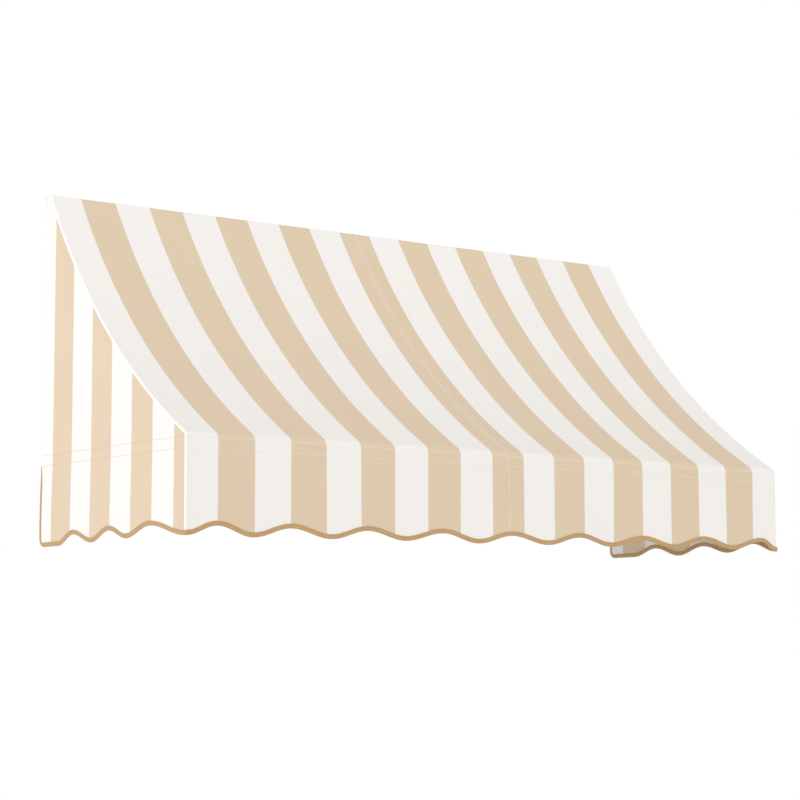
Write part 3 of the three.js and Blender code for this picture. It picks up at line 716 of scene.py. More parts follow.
seam_pull = (1 - abs(hang_x) / SEAM_PULL).clamped()
pucker_across = canvas.grain(canvas.vector(across * 150.0, along * 25.0), 1.0, 1.0)
pucker_along = canvas.grain(canvas.vector(across * 25.0, along * 150.0), 1.0, 1.0)
canvas.relief(
    floats * 0.16 + slubs * 0.1 + row_pull * pucker_across * 0.7 + seam_pull * pucker_along * 0.6,
    0.0006,
    0.55,
)


def ease(share):
    share = min(max(share, 0.0), 1.0)
    return share * share * (3 - 2 * share)


# Hem line. The scallops are cut round a template by hand, so no two are quite alike. Each point
# is a lowest or highest one, in millimetres along the hem and above the cover's lowest line.
LOW = FOLD - 200 * MM
HEM_CORNER = 20 * MM
FRONT_POINTS = [
    (0, -4), (75, 17), (158, -4), (253, 17), (348, -2), (444, 18), (539, 0), (643, 19), (736, 0),
    (831, 19), (930, 2), (1024, 21), (1117, 3), (1213, 21), (1307, 4), (1403, 25), (1494, 7),
    (1592, 27), (1638, 6),
]
LEFT_POINTS = [
    (14, -6), (84, -6), (150, 16), (229, -4), (303, 18), (375, -1), (468, 21), (610, -4),
]
RIGHT_POINTS = [
    (14, 10), (98, 10), (177, 29), (266, 8), (354, 28), (444, 9), (530, 27), (610, 6),
]


def hem_height(points, distance):
    """Outer edge of the binding at a distance along the hem, in metres."""
    mm = distance / MM
    for (s0, h0), (s1, h1) in zip(points, points[1:]):
        if mm <= s1:
            share = (1 - math.cos(math.pi * max(0, mm - s0) / (s1 - s0))) / 2
            return LOW + (h0 + (h1 - h0) * share) * MM
    return LOW + points[-1][1] * MM


# Hang of the loose valance. The cloth is free under the bars: the sides stand off a little
# towards the wall, and the front has only the slight waviness of a hem that hangs free.
LOOSE_FROM = FOLD - 36 * MM
LOOSE_LENGTH = 160 * MM
LEFT_FLARE = 2 * MM
RIGHT_FLARE = 14 * MM
FRONT_RIPPLE = 1.3 * MM


def hang(p):
    """Where a point of the cover really hangs."""
    drop = max(0.0, (LOOSE_FROM - p.z) / LOOSE_LENGTH)
    from_wall = min(max(-p.y / PROJECTION, 0.0), 1.0)
    on_side = ease((abs(p.x) - (HALF - 30 * MM)) / (24 * MM))
    on_front = ease((-p.y - (PROJECTION - 60 * MM)) / (50 * MM))
    bow = math.sin(min(drop, 1.0) * 2.2) * 1.1
    flare = LEFT_FLARE if p.x < 0 else RIGHT_FLARE
    out = flare * bow * (1 - from_wall) ** 0.8 * on_side
    wave = math.sin(p.x * 13.0 + 0.7) + 0.5 * math.sin(p.x * 29.0 + 2.1)
    forward = FRONT_RIPPLE * drop * (0.7 + wave) * on_front
    return Vector((p.x + math.copysign(out, p.x), p.y - forward, p.z))


# Roof cloths. Two cloths, each one length that is turned under the header bar, drawn down the
# hollow of the roof and folded over the front bar to hang as the valance. They are lapped and
# sewn twice in the middle stripe, and their outer edges are turned over the side panels.
FOLD_RADIUS = 24 * MM  # between the ends, where the cloth is free to round over
FOLD_END_RADIUS = 8 * MM  # over the corner castings
FOLD_SPAN = 16 * MM
FOLD_STEP = 2 * MM
CLEAR = 0.3 * MM  # between a cloth and what it lies on
HEADER_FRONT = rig.box("header_bar")[0].y
BELOW_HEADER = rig.box("header_bar")[0].z - CANVAS - CLEAR
CASTING_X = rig.box("corner_header_right")[0].x  # cloth stops at the casting under the bar
LAP = 10 * MM
LAP_RISE = 0.53 * MM
LAP_EDGE = 0.38  # share of its thickness that the pressed edge of a lap keeps
CUT_EDGE = 1.1 * MM  # cloth edge above the bottom of the binding
ROW_STEP = 8 * MM
VALANCE_ROWS = 26
BAY_LIFT = 2.0 * MM  # the cloth bellies out this much between the rafters
ROOF_SLACK = 0.7 * MM
UNDER_ROOF = Vector((0, -0.25, -0.5))
LAP_COLUMNS = (-5, -3.5, -2, 0, 2.5, 5, 8, 11, 15, 20)  # mm from the middle of the awning
EDGE_TURN = [(-3.0, 0.0), (-1.2, 0.12), (0.2, -0.15), (1.1, -0.9), (1.45, -2.2), (1.4, -5.0)]
EDGE_FREE = 6 * MM
CLOTH_CREASE = 50
CANOPY_FLAT = (0.84, 1.115)


def roof_point(share):
    """Point of the roof line from 0 at the top to 1 at the fold."""
    first, last = roof_angle(*roof_top), roof_angle(*roof_foot)
    return roof_spot(0, ROOF_RADIUS, first + (last - first) * share).yz


def rounded(line, corners, steps=6):
    """A line with some of its corners rounded, given as {index: radius}."""
    done = []
    for i, corner in enumerate(line):
        if i not in corners:
            done.append(corner)
            continue
        into = (line[i - 1] - corner).normalized()
        out = (line[i + 1] - corner).normalized()
        half = math.acos(max(-1, min(1, into.dot(out)))) / 2
        centre = corner + (into + out).normalized() * (corners[i] / math.sin(half))
        start = corner + into * (corners[i] / math.tan(half)) - centre
        end = corner + out * (corners[i] / math.tan(half)) - centre
        turn = math.atan2(start.x * end.y - start.y * end.x, start.dot(end))
        for k in range(steps + 1):
            a = turn * k / steps
            spun = Vector((
                start.x * math.cos(a) - start.y * math.sin(a),
                start.x * math.sin(a) + start.y * math.cos(a),
            ))
            done.append(centre + spun)
    return done


def stepped(first, last, count):
    return [first + (last - first) * k / count for k in range(count + 1)]


def spaced(line, step):
    """The same line with more points, so that none are further apart than step."""
    done = [line[0]]
    for a, b in zip(line, line[1:]):
        count = max(1, math.ceil((b - a).length / step))
        done += [a.lerp(b, k / count) for k in range(1, count + 1)]
    return done


def finished_mesh(name, edit):
    mesh = bpy.data.meshes.new(name)
    edit.to_mesh(mesh)
    edit.free()
    return put_in_scene(name, mesh)


def sewn_sheet(name, rows, outward, thickness, pressed=None):
    """A sheet through rows of (point, cut), no point where there is no cloth, its cut as UV."""
    edit = bmesh.new()
    layer = edit.loops.layers.uv.new("cut")
    weights = edit.verts.layers.deform.verify() if pressed else None
    flat = {}
    grid = []
    for row in rows:
        made = [None if p is None else edit.verts.new(p) for p, _ in row]
        for i, (vert, (_, cut)) in enumerate(zip(made, row)):
            if vert is not None:
                flat[vert] = cut
                if pressed:
                    vert[weights][0] = pressed[i]
        grid.append(made)
    for upper, lower in zip(grid, grid[1:]):
        for i in range(len(upper) - 1):
            corners = [upper[i], upper[i + 1], lower[i + 1], lower[i]]
            if None not in corners:
                for loop in edit.faces.new(corners).loops:
                    loop[layer].uv = flat[loop.vert]
    edit.normal_update()
    total = sum(f.normal.dot(outward(f.calc_center_median())) * f.calc_area() for f in edit.faces)
    if total < 0:
        bmesh.ops.reverse_faces(edit, faces=edit.faces)
    stray = [v for v in edit.verts if not v.link_faces]
    bmesh.ops.delete(edit, geom=stray, context="VERTS")
    piece = finished_mesh(name, edit)
    if pressed:
        piece.vertex_groups.new(name="pressed")
    if thickness:
        apply_modifier(
            piece, "SOLIDIFY", thickness=thickness, offset=-1.0, use_even_offset=True,
            vertex_group="pressed" if pressed else "",
        )
    piece.vertex_groups.clear()
    smooth(piece, CLOTH_CREASE)
    return piece


header_turn = [
    Vector((HEADER_FRONT, BELOW_HEADER)),
    Vector((WALL_FACE, BELOW_HEADER)),
    Vector((WALL_FACE, TOP)),
    roof_top,
]
roof_steps = [roof_point(k / 100) for k in range(1, 101)]
drawn = rounded(header_turn + roof_steps, {1: 2.4 * MM, 2: 2.8 * MM, 3: 5 * MM})
drawn = [p for p in drawn if (p - roof_foot).length > FOLD_SPAN + 1 * MM]
slope = (roof_foot - roof_point(0.995)).normalized()
down = Vector((0, -1))
FOLD_TURN = math.acos(-slope.y)
fold_marks = stepped(-FOLD_SPAN, FOLD_SPAN, round(2 * FOLD_SPAN / FOLD_STEP))


def sharp_fold(mark):
    """Where the cloth would lie at a distance past the fold if it weren't rounded."""
    return roof_foot + (slope if mark < 0 else down) * mark


fold_line = [sharp_fold(mark) for mark in fold_marks]
roof_line = spaced(drawn + fold_line[:1], ROW_STEP) + fold_line[1:]
roof_marks = [None] * (len(roof_line) - len(fold_marks)) + fold_marks
VALANCE_TOP = FOLD - FOLD_SPAN


def fold_radius(x):
    """The fold is sharp over the castings at its ends and rounder between them."""
    return FOLD_END_RADIUS + (FOLD_RADIUS - FOLD_END_RADIUS) * ease((HALF - abs(x) - 0.014) / 0.06)


def fold_centre(radius):
    reach = radius * math.tan(FOLD_TURN / 2)
    return roof_foot - slope * reach - Vector((slope.y, -slope.x)) * radius


def fold_shape(mark, radius):
    """How the rounded fold lies from the sharp one at a distance past it, and its way out."""
    reach = radius * math.tan(FOLD_TURN / 2)
    share = min(max((mark / reach + 1) / 2, 0), 1)
    heading = math.atan2(slope.y, slope.x) + FOLD_TURN * share
    out = Vector((math.sin(heading), -math.cos(heading)))
    if abs(mark) >= reach:
        return Vector((0, 0)), out
    return fold_centre(radius) + out * radius - sharp_fold(mark), out


def fold_hollow(x, z, inset=0.0):
    """How far the rounded fold lies behind the front's plane at a height."""
    radius = fold_radius(x)
    above = z - FOLD + radius * math.tan(FOLD_TURN / 2)
    radius -= inset
    return radius - math.sqrt(radius ** 2 - above ** 2) if above > 0 else 0.0


def line_normals(line):
    """Outward direction at each point of a line that goes round the frame clockwise."""
    found = []
    for i in range(len(line)):
        step = (line[min(i + 1, len(line) - 1)] - line[max(i - 1, 0)]).normalized()
        found.append(Vector((step.y, -step.x)))
    return found


def cut_lengths(line):
    total = [0.0]
    for a, b in zip(line, line[1:]):
        total.append(total[-1] + (b - a).length)
    return total


roof_out = line_normals(roof_line)
roof_cut = cut_lengths(roof_line)
roof_start = roof_cut[next(i for i, p in enumerate(roof_line) if p.x < -TOP_STRIP)]
roof_length = roof_cut[-1] - roof_start


def lap_rise(x):
    """How far the right cloth stands up over the left one beside the middle seam."""
    return LAP_RISE * (1 - ease((x - LAP / 2 - 0.5 * MM) / (7 * MM)))


def arch(share):
    """From 0 at both ends to 1 in the middle."""
    return math.sin(math.pi * min(max(share, 0), 1))


def canopy(side):
    """One roof cloth as rows from the turned edge under the bar to the hem."""
    marks = [m * MM for m in LAP_COLUMNS]
    plain = HALF - EDGE_FREE - marks[-1]
    marks += stepped(marks[-1], HALF - EDGE_FREE, round(plain / ROW_STEP))[1:]
    edge = [(HALF + x * MM, n * MM) for x, n in EDGE_TURN]
    columns = [(m, 0.0) for m in marks] + edge
    across = marks + [edge[0][0] + length for length in cut_lengths([Vector(c) for c in edge])]
    pressed = [LAP_EDGE + (1 - LAP_EDGE) * ease((x + LAP / 2) / LAP) for x, _ in columns]
    rows = []

    def seam_lift(i):
        if side > 0:
            return lap_rise(columns[i][0])
        return -CANVAS * (1 - pressed[i])

    for point, out, length, mark in zip(roof_line, roof_out, roof_cut, roof_marks):
        flap = point.y < BELOW_HEADER + 1.5 * MM and point.x > HEADER_FRONT - 1 * MM
        roof = arch((length - roof_start) / roof_length)
        row = []
        for i, (x, rise) in enumerate(columns):
            soft = noise.noise(Vector((side * x * 9, length * 5, 3.7))) * ROOF_SLACK
            bay = arch(x / (HALF - 12 * MM)) * roof * (BAY_LIFT + soft)
            shift, way = Vector((0, 0)), out
            if mark is not None:
                shift, way = fold_shape(mark, fold_radius(x))
            spot = point + shift + way * (rise + seam_lift(i) + bay)
            hidden = flap and x > CASTING_X - 2 * MM
            place = None if hidden else hang(Vector((side * x, *spot)))
            row.append((place, (side * across[i], length)))
        rows.append(row)
    for k in range(1, VALANCE_ROWS + 1):
        row = []
        for i, (x, rise) in enumerate(columns):
            bottom = hem_height(FRONT_POINTS, HALF + side * min(x, HALF)) + CUT_EDGE
            z = VALANCE_TOP + (bottom - VALANCE_TOP) * k / VALANCE_ROWS
            place = hang(Vector((side * x, -PROJECTION - rise - seam_lift(i), z)))
            row.append((place, (side * across[i], roof_cut[-1] + VALANCE_TOP - z)))
        rows.append(row)

    label = "left" if side < 0 else "right"
    piece = sewn_sheet(
        "roof_cloth_" + label, rows, lambda p: (p - UNDER_ROOF) * Vector((0, 1, 1)), CANVAS, pressed
    )
    return seat(piece, canvas, "striped_canvas", "canopy_" + label)


roof_cloth_left, roof_cloth_right = canopy(-1), canopy(1)

# Side panels. One cloth each, sewn in under the edge of the roof, with the wall edge turned
# round the upright. Below the arm it hangs on as the side valance, bowed out near the wall.
UNDER = CANVAS + CLEAR
SIDE_ROWS = 84
SIDE_COLUMNS = 74
WALL_COLUMNS = (0, 0.4, 1.2, 2.6, 4.6, 7.2, 10, 12.9)  # mm from the wall edge
SIDE_SLACK = 0.6 * MM
TURN_SLACK = 0.5 * MM
TURN_LEVELS = 60
SIDE_STRIPE = 94.5 * MM  # middle of the first tan stripe from the wall
SIDE_CLOSER = 1.03  # its stripes lie closer than the roof's by this much
TURN_TOP, TURN_FOOT = -25 * MM, FOLD + 18 * MM
UPRIGHT_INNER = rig.box("upright_right")[0].x
SIDE_FLAT = (0.66, 0.77)
SIDE_AREA = 0.295

end_centre = fold_centre(FOLD_END_RADIUS)


def side_top(s):
    """Height of the side panel's upper edge at a distance from the wall."""
    if s <= TOP_STRIP + 2 * MM:
        return TOP - UNDER
    reach = ROOF_RADIUS + UNDER
    off = -s - ROOF_CENTRE.x
    height = ROOF_CENTRE.y - math.sqrt(reach * reach - off * off)
    within = FOLD_END_RADIUS - UNDER
    if -s < end_centre.x and abs(-s - end_centre.x) < within:
        round_top = end_centre.y + math.sqrt(within ** 2 - (-s - end_centre.x) ** 2)
        height = min(height, round_top)
    return min(height, TOP - UNDER)


def side_bottom(s, points):
    """Height of the side panel's lower edge, with its round corner at the wall."""
    corner = HEM_CORNER - CUT_EDGE
    centre = -WALL_FACE + corner
    edge = hem_height(points, s) + CUT_EDGE
    if s < centre:
        edge += corner - math.sqrt(max(0, corner ** 2 - (centre - s) ** 2))
    return edge


def side_panel(side, points):
    label = "left" if side < 0 else "right"
    places = [m * MM - WALL_FACE for m in WALL_COLUMNS]
    places += stepped(places[-1], PROJECTION - UNDER, SIDE_COLUMNS)[1:]
    rows = []
    for k in range(SIDE_ROWS + 1):
        row = []
        for s in places:
            top, bottom = side_top(s), side_bottom(s, points)
            z = top + (bottom - top) * k / SIDE_ROWS
            slack = SIDE_SLACK * noise.noise(Vector((s * 8, z * 6, side * 2.3)))
            free = arch((s - 0.01) / 0.58) * ease((z - FOLD + 0.02) / 0.1) * ease((top - z) / 0.08)
            place = hang(Vector((side * (HALF + slack * free), -s, z)))
            row.append((place, ((s - SIDE_STRIPE) * SIDE_CLOSER, z)))
        rows.append(row)
    panel = sewn_sheet("side_cloth_" + label, rows, lambda p: Vector((side, 0, 0)), CANVAS)

    inner = UPRIGHT_INNER - UNDER
    plan = [
        Vector((HALF - 0.4 * MM, WALL_FACE - 4 * MM)),
        Vector((HALF - 0.4 * MM, WALL_FACE)),
        Vector((inner, WALL_FACE)),
        Vector((inner, HEADER_FRONT)),
    ]
    plan = spaced(rounded(plan, {1: 1.6 * MM, 2: 2.0 * MM}, 4), 6 * MM)
    rows = []
    for z in stepped(TURN_TOP, TURN_FOOT, TURN_LEVELS):
        row = []
        for i, (p, length) in enumerate(zip(plan, cut_lengths(plan))):
            loose = TURN_SLACK * noise.noise(Vector((5, z * 22, i * 0.4)))
            x = side * (p.x + (loose if i > len(plan) - 4 else 0))
            row.append((Vector((x, p.y, z)), (-SIDE_STRIPE - length - WALL_FACE, z)))
        rows.append(row)

    def turn_out(p):
        return Vector((-side, 0, 0)) if abs(p.x) < inner + 1 * MM else Vector((0, 1, 0))

    join_to(panel, sewn_sheet("hem_turn", rows, turn_out, CANVAS))
    return seat(panel, canvas, "striped_canvas", "side_panel_" + label)


side_cloth_left = side_panel(-1, LEFT_POINTS)
side_cloth_right = side_panel(1, RIGHT_POINTS)

# Pockets and sleeves. Plain white canvas strips: pockets wrapped under the front bar and the
# arms and sewn to the cover above and below them, sleeves closed round the bent rafters.
STRIP = 1.0 * MM
FLANGE_TOP = FOLD - 3.2 * MM
BAR_MIDDLE = (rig.box("front_bar")[0].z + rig.box("front_bar")[1].z) / 2
POCKET_TURNS = {1: 0.8 * MM, 2: 3 * MM, 3: 3 * MM, 4: 0.8 * MM}
POCKET_STEP = 7 * MM
POCKET_SLACK = 0.9 * MM
FRONT_POCKET_FLAT = (0.077, 0.736)
ARM_POCKET_FLAT = (0.077, 0.488)
SLEEVE_FLAT = (0.084, 0.72)
SLEEVE_CORNER = 3 * MM
SLEEVE_STEP = 5 * MM
SLEEVE_ROWS = 96
POCKET_SHADE = srgb(226, 221, 212)
POCKET_YARN = srgb(238, 234, 227)

pocket_canvas = Finish("pocket_canvas", Roughness=0.9, Sheen_Weight=0.1, Specular_IOR_Level=0.2)
pocket_cut = pocket_canvas.node("ShaderNodeUVMap", {"uv_map": "cut"})
pocket_across, pocket_along, _ = pocket_canvas.parts(pocket_cut)
pocket_floats = abs(pocket_across.wave(YARN) * pocket_along.wave(YARN))
pocket_slub = pocket_canvas.grain(
    pocket_canvas.vector(pocket_across * 700.0, pocket_along * 30.0), 1.0, 2.0
)
pocket_cloud = pocket_canvas.grain(pocket_canvas.place(), 9.0, 3.0)
pocket_tone = ((1 - pocket_floats) * 0.4 + pocket_slub * 0.4 + pocket_cloud * 0.5 - 0.3).clamped()
pocket_canvas.feed(
    Base_Color=pocket_canvas.mix(pocket_tone, POCKET_YARN, POCKET_SHADE),
    Roughness=0.82 + pocket_slub * 0.12,
)
pocket_canvas.relief(
    pocket_floats * 0.2 + pocket_slub * 0.2 + pocket_cloud * 0.6, 0.0006, 0.5
)


def pocket(node, axis):
    """A strip wrapped under a bar, from the row above it to the row below it."""
    low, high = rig.box(node)
    on_front = axis == 0
    side = 1 if (low.x + high.x) > 0 else -1
    bar_low, bar_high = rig.box("front_bar" if on_front else "arm_" + node.split("_")[-1])
    around = CLEAR + STRIP
    across = [abs(p.y if on_front else p.x) for p in (bar_low, bar_high)]
    outer, inner = max(across) + around, min(across) - around
    over, under = bar_high.z + around, bar_low.z - around
    corners = [
        (outer, FLANGE_TOP), (outer, over), (inner, over),
        (inner, under), (outer, under), (outer, low.z),
    ]
    line = spaced(rounded([Vector(c) for c in corners], POCKET_TURNS, 4), 4 * MM)
    lengths = cut_lengths(line)
    start, end = low[axis], high[axis]
    rows = []
    for at in stepped(start, end, round((end - start) / POCKET_STEP)):
        row = []
        for p, length in zip(line, lengths):
            loose = POCKET_SLACK * abs(noise.noise(Vector((at * 18, length * 30, 1.3 + side))))
            loose *= ease((outer - p.x) / (12 * MM))
            out = p.x - loose
            z = p.y - loose * 0.8 * (1 if p.y < BAR_MIDDLE else -0.3)
            if on_front and p.x > outer - 2 * MM:
                out -= fold_hollow(at, z, UNDER)
            place = (at, -out, z) if on_front else (side * out, at, z)
            row.append((Vector(place), (at, length)))
        rows.append(row)
    bar_middle = (bar_low + bar_high) / 2
    round_bar = Vector((0, 1, 1) if on_front else (1, 0, 1))
    piece = sewn_sheet(node + "_cloth", rows, lambda p: (p - bar_middle) * round_bar, STRIP)
    return seat(piece, pocket_canvas, "pocket_cloth", node)


pockets = {}
for side in ("left", "right"):
    pockets["front_" + side] = pocket("front_pocket_" + side, 0)
    pockets["arm_" + side] = pocket("arm_pocket_" + side, 1)


def sleeve(node):
    """Closed cloth tube round a bent rafter, slack at its inner side."""
    middle, bend, start, end = bend_of(node)
    low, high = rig.box(node)
    half = (high.x - low.x) / 2
    corner = [Vector((x * half, y * half)) for x, y in ((-1, -1), (1, -1), (1, 1), (-1, 1))]
    ring = []
    for i in range(4):
        trio = [corner[i - 1], corner[i], corner[(i + 1) % 4]]
        ring += rounded(trio, {1: SLEEVE_CORNER}, 4)[1:-1]
    ring = spaced(ring + ring[:1], SLEEVE_STEP)
    lengths = cut_lengths(ring)
    swings = lengths[:-1] + [0.0]  # the last point is the first one again
    rows = []
    for angle in stepped(start, end, SLEEVE_ROWS):
        along = bend * (start - angle)
        row = []
        for p, length, swing in zip(ring, lengths, swings):
            loose = abs(noise.noise(Vector((along * 16, swing * 40, middle * 7)))) * MM
            slack = loose * ease((p.y + half * 0.2) / half)
            x = middle + p.x * (1 + slack / half * 0.3)
            row.append((roof_spot(x, bend + p.y + slack, angle), (length, along)))
        rows.append(row)

    def away(p):
        reach = p.yz - ROOF_CENTRE
        return Vector((p.x - middle, *(reach.normalized() * (reach.length - bend))))

    piece = sewn_sheet(node + "_cloth", rows, away, STRIP)
    merge_doubles(piece)
    bpy.ops.object.mode_set(mode="OBJECT")
    return seat(piece, pocket_canvas, "pocket_cloth", node)


sleeves = {side: sleeve("rafter_sleeve_" + side) for side in ("left", "centre", "right")}

# Edge binding. Woven tan tape folded over the raw hem and sewn through, in one run: up the wall
# end of the left side, round the front and back to the wall on the right, narrower at the wall.
TAPE = 0.8 * MM
TAPE_LEG = 10 * MM
WALL_LEG = 7.5 * MM
CORNER_SWELL = 1.6 * MM  # the tape goes over twice the cloth at the front corners
CORNER_CLEAR = 8 * MM
SIDE_STATIONS = 84
FRONT_STATIONS = 260
TAPE_GAP = CANVAS / 2 + 0.35 * MM
TAPE_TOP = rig.box("edge_binding")[1].z
TAPE_FLAT = (0.023, 3.27)
TAPE_LIGHT = srgb(203, 168, 121)
TAPE_DARK = srgb(178, 143, 98)
MID_X = HALF - CANVAS / 2
MID_Y = -PROJECTION + CANVAS / 2

tape = Finish("woven_tape", Roughness=0.8, Sheen_Weight=0.15, Specular_IOR_Level=0.25)
tape_cut = tape.node("ShaderNodeUVMap", {"uv_map": "cut"})
tape_across, tape_along, _ = tape.parts(tape_cut)
ribs = abs(tape_along.wave(0.9 * MM))
tape_warp = abs(tape_across.wave(0.7 * MM))
tape_cloud = tape.grain(tape.vector(tape_across * 60.0, tape_along * 25.0), 1.0, 3.0)
tape_tone = ((1 - ribs) * 0.35 + (1 - tape_warp) * 0.2 + tape_cloud * 0.6 - 0.1).clamped()
tape.feed(
    Base_Color=tape.mix(tape_tone, TAPE_LIGHT, TAPE_DARK), Roughness=0.72 + tape_cloud * 0.15
)
tape.relief(ribs * 0.5 + tape_warp * 0.25 + tape_cloud * 0.25, 0.0003, 0.7)


def hem_line_side(points):
    """Outside of the binding on one side, from its top at the wall to the front corner."""
    back = -WALL_FACE - CUT_EDGE
    base = hem_height(points, 0)
    start, end = points[1][0] * MM, PROJECTION - CANVAS / 2
    line = [Vector((back, TAPE_TOP)), Vector((back, base)), Vector((start, base))]
    line = spaced(rounded(line, {1: HEM_CORNER}, 8), 9 * MM)
    steps = stepped(start, end, SIDE_STATIONS)[1:]
    return line + [Vector((s, hem_height(points, s))) for s in steps]


def tape_gap(from_corner):
    return TAPE_GAP + CORNER_SWELL * (1 - ease((from_corner - 5 * MM) / (12 * MM)))


def side_stations(points, side):
    """Stations of the tape: its fold, the way up, the way out, its leg and its gap."""
    line = hem_line_side(points)
    found = []
    for p, n in zip(line[:-1], line_normals(line)):
        leg = WALL_LEG * min(1.0, 0.35 + (TAPE_TOP - p.y) / (60 * MM))
        leg += (TAPE_LEG - leg) * ease((p.x - 2 * MM) / (26 * MM))
        fold, up = Vector((side * MID_X, -p.x, p.y)), Vector((0, n.x, -n.y))
        found.append((fold, up, Vector((side, 0, 0)), leg, tape_gap(PROJECTION - p.x)))
    return found


def corner_station(side, height):
    fold, out = Vector((side * MID_X, MID_Y, height)), Vector((side, -1, 0))
    return fold, Vector((0, 0, 1)), out, TAPE_LEG, tape_gap(0)


front_steps = stepped(0, 2 * HALF, FRONT_STATIONS)
front_line = [Vector((s, hem_height(FRONT_POINTS, s))) for s in front_steps]
stations = side_stations(LEFT_POINTS, -1)
stations.append(corner_station(-1, front_line[0].y))
for p, n in zip(front_line, line_normals(front_line)):
    from_corner = min(p.x, 2 * HALF - p.x)
    if from_corner > CORNER_CLEAR:
        fold, up = Vector((p.x - HALF, MID_Y, p.y)), Vector((-n.x, 0, -n.y))
        stations.append((fold, up, Vector((0, -1, 0)), TAPE_LEG, tape_gap(from_corner)))
stations.append(corner_station(1, front_line[-1].y))
stations += side_stations(RIGHT_POINTS, 1)[::-1]

rows = []
tape_run = 0.0
for i, (point, up, out, leg, gap) in enumerate(stations):
    # Half of the folded tape's section, each point out from the canvas and up from the fold.
    outer = gap + TAPE
    around = [
        (outer - TAPE * 0.7, leg), (outer - TAPE * 0.2, leg - 0.1 * MM), (outer, leg * 0.8),
        (outer, leg * 0.45), (outer * 0.98, 1.9 * MM), (outer * 0.82, 0.8 * MM),
        (outer * 0.45, 0.1 * MM), (0, 0),
    ]
    within = [(0, TAPE), (gap * 0.8, TAPE * 1.3), (gap, 2.2 * MM), (gap, leg * 0.9)]
    section = around + [(-d, h) for d, h in reversed(around[:-1])]
    section += [(-d, h) for d, h in reversed(within[1:])] + within + around[:1]
    if i:
        tape_run += (point - stations[i - 1][0]).length
    widths = cut_lengths([Vector(q) for q in section])
    spots = [hang(point + out * d + up * h) for d, h in section]
    rows.append([(spot, (width, tape_run)) for spot, width in zip(spots, widths)])
mid_of_tape = [sum((q for q, _ in row), Vector()) / len(row) for row in rows]


def from_tape_middle(p):
    nearest = min(range(0, len(stations), 3), key=lambda k: (mid_of_tape[k] - p).length_squared)
    return p - mid_of_tape[nearest]


edge_binding = sewn_sheet("binding_tape", rows, from_tape_middle, 0)
merge_doubles(edge_binding, SAME_POINT / 2)
bpy.ops.mesh.select_all(action="DESELECT")
bpy.ops.mesh.select_mode(type="EDGE")
bpy.ops.mesh.select_non_manifold(
    extend=False, use_wire=False, use_multi_face=False, use_non_contiguous=False, use_verts=False
)
bpy.ops.mesh.edge_face_add()
bpy.ops.mesh.select_all(action="SELECT")
bpy.ops.mesh.normals_make_consistent(inside=False)
bpy.ops.mesh.select_mode(type="FACE")
bpy.ops.object.mode_set(mode="OBJECT")
seat(edge_binding, tape, "binding_tape", "edge_binding")

# Stitching. Bonded polyester lockstitch, five millimetres to the stitch, sunk at both ends into
# the needle holes. It shows on both faces: two rows under the fold, two down the middle seam,
# one along each corner seam and one through the binding. The rows on the side panels use the same
# cream thread, coloured darker as painted shade.
STITCH = 5.0 * MM
THREAD = 0.34 * MM
STITCH_BODY = 3.5 * MM
FRONT_ROW_STEPS = 200
SIDE_ROW_STEPS = 70
DROP_STEPS = 24
ROW_FROM_EDGE = 3.6 * MM
ROW_START = -8 * MM  # from the wall
ROW_END = LOW + 14 * MM
CORNER_LIFT = 0.05 * MM
CREAM_THREAD = srgb(245, 242, 237)
CREAM_SHADE = srgb(236, 231, 222)
# Painted shade: a darker copy of the cream thread, for the rows on the side panels.
SHADED_CREAM_THREAD = srgb(222, 208, 184)
SHADED_CREAM_THREAD_DARK = srgb(202, 186, 158)
TAN_THREAD = srgb(206, 172, 128)
TAN_THREAD_SHADE = srgb(172, 139, 98)


def thread_finish(name, light, dark):
    thread = Finish(name, Roughness=0.6, Sheen_Weight=0.1)
    spot = thread.place()
    twist = thread.grain(spot, 1800.0, 1.0)
    age = thread.grain(spot, 35.0, 2.0)
    thread.feed(
        Base_Color=thread.mix((twist * 0.5 + age * 0.5).clamped(), light, dark),
        Roughness=0.5 + twist * 0.2,
    )
    thread.relief(twist, 0.0001, 0.5)
    return thread


cream_thread = thread_finish("cream_thread", CREAM_THREAD, CREAM_SHADE)
# The side panels' rows take the cream thread with painted shade in its colour.
sand_thread = thread_finish("sand_thread", SHADED_CREAM_THREAD, SHADED_CREAM_THREAD_DARK)
tan_thread = thread_finish("tan_thread", TAN_THREAD, TAN_THREAD_SHADE)

bpy.ops.object.select_all(action="DESELECT")
bpy.ops.mesh.primitive_cylinder_add(
    vertices=6, radius=THREAD, depth=STITCH_BODY, rotation=(0, math.pi / 2, 0)
)
stitch = bpy.context.object
bpy.ops.object.transform_apply(location=True, rotation=True, scale=True)
bpy.ops.object.mode_set(mode="EDIT")
for end in (-1, 1):
    pick_faces(stitch, lambda f: f.calc_center_median().x * end > STITCH_BODY * 0.45)
    bpy.ops.mesh.extrude_region_move(
        TRANSFORM_OT_translate={"value": (end * 0.5 * MM, 0, -0.3 * MM)}
    )
    bpy.ops.mesh.extrude_region_move(
        TRANSFORM_OT_translate={"value": (end * 0.12 * MM, 0, -0.5 * MM)}
    )
    bpy.ops.transform.resize(value=(0.7, 0.7, 0.7))
bpy.ops.object.mode_set(mode="OBJECT")
smooth(stitch, CLOTH_CREASE)


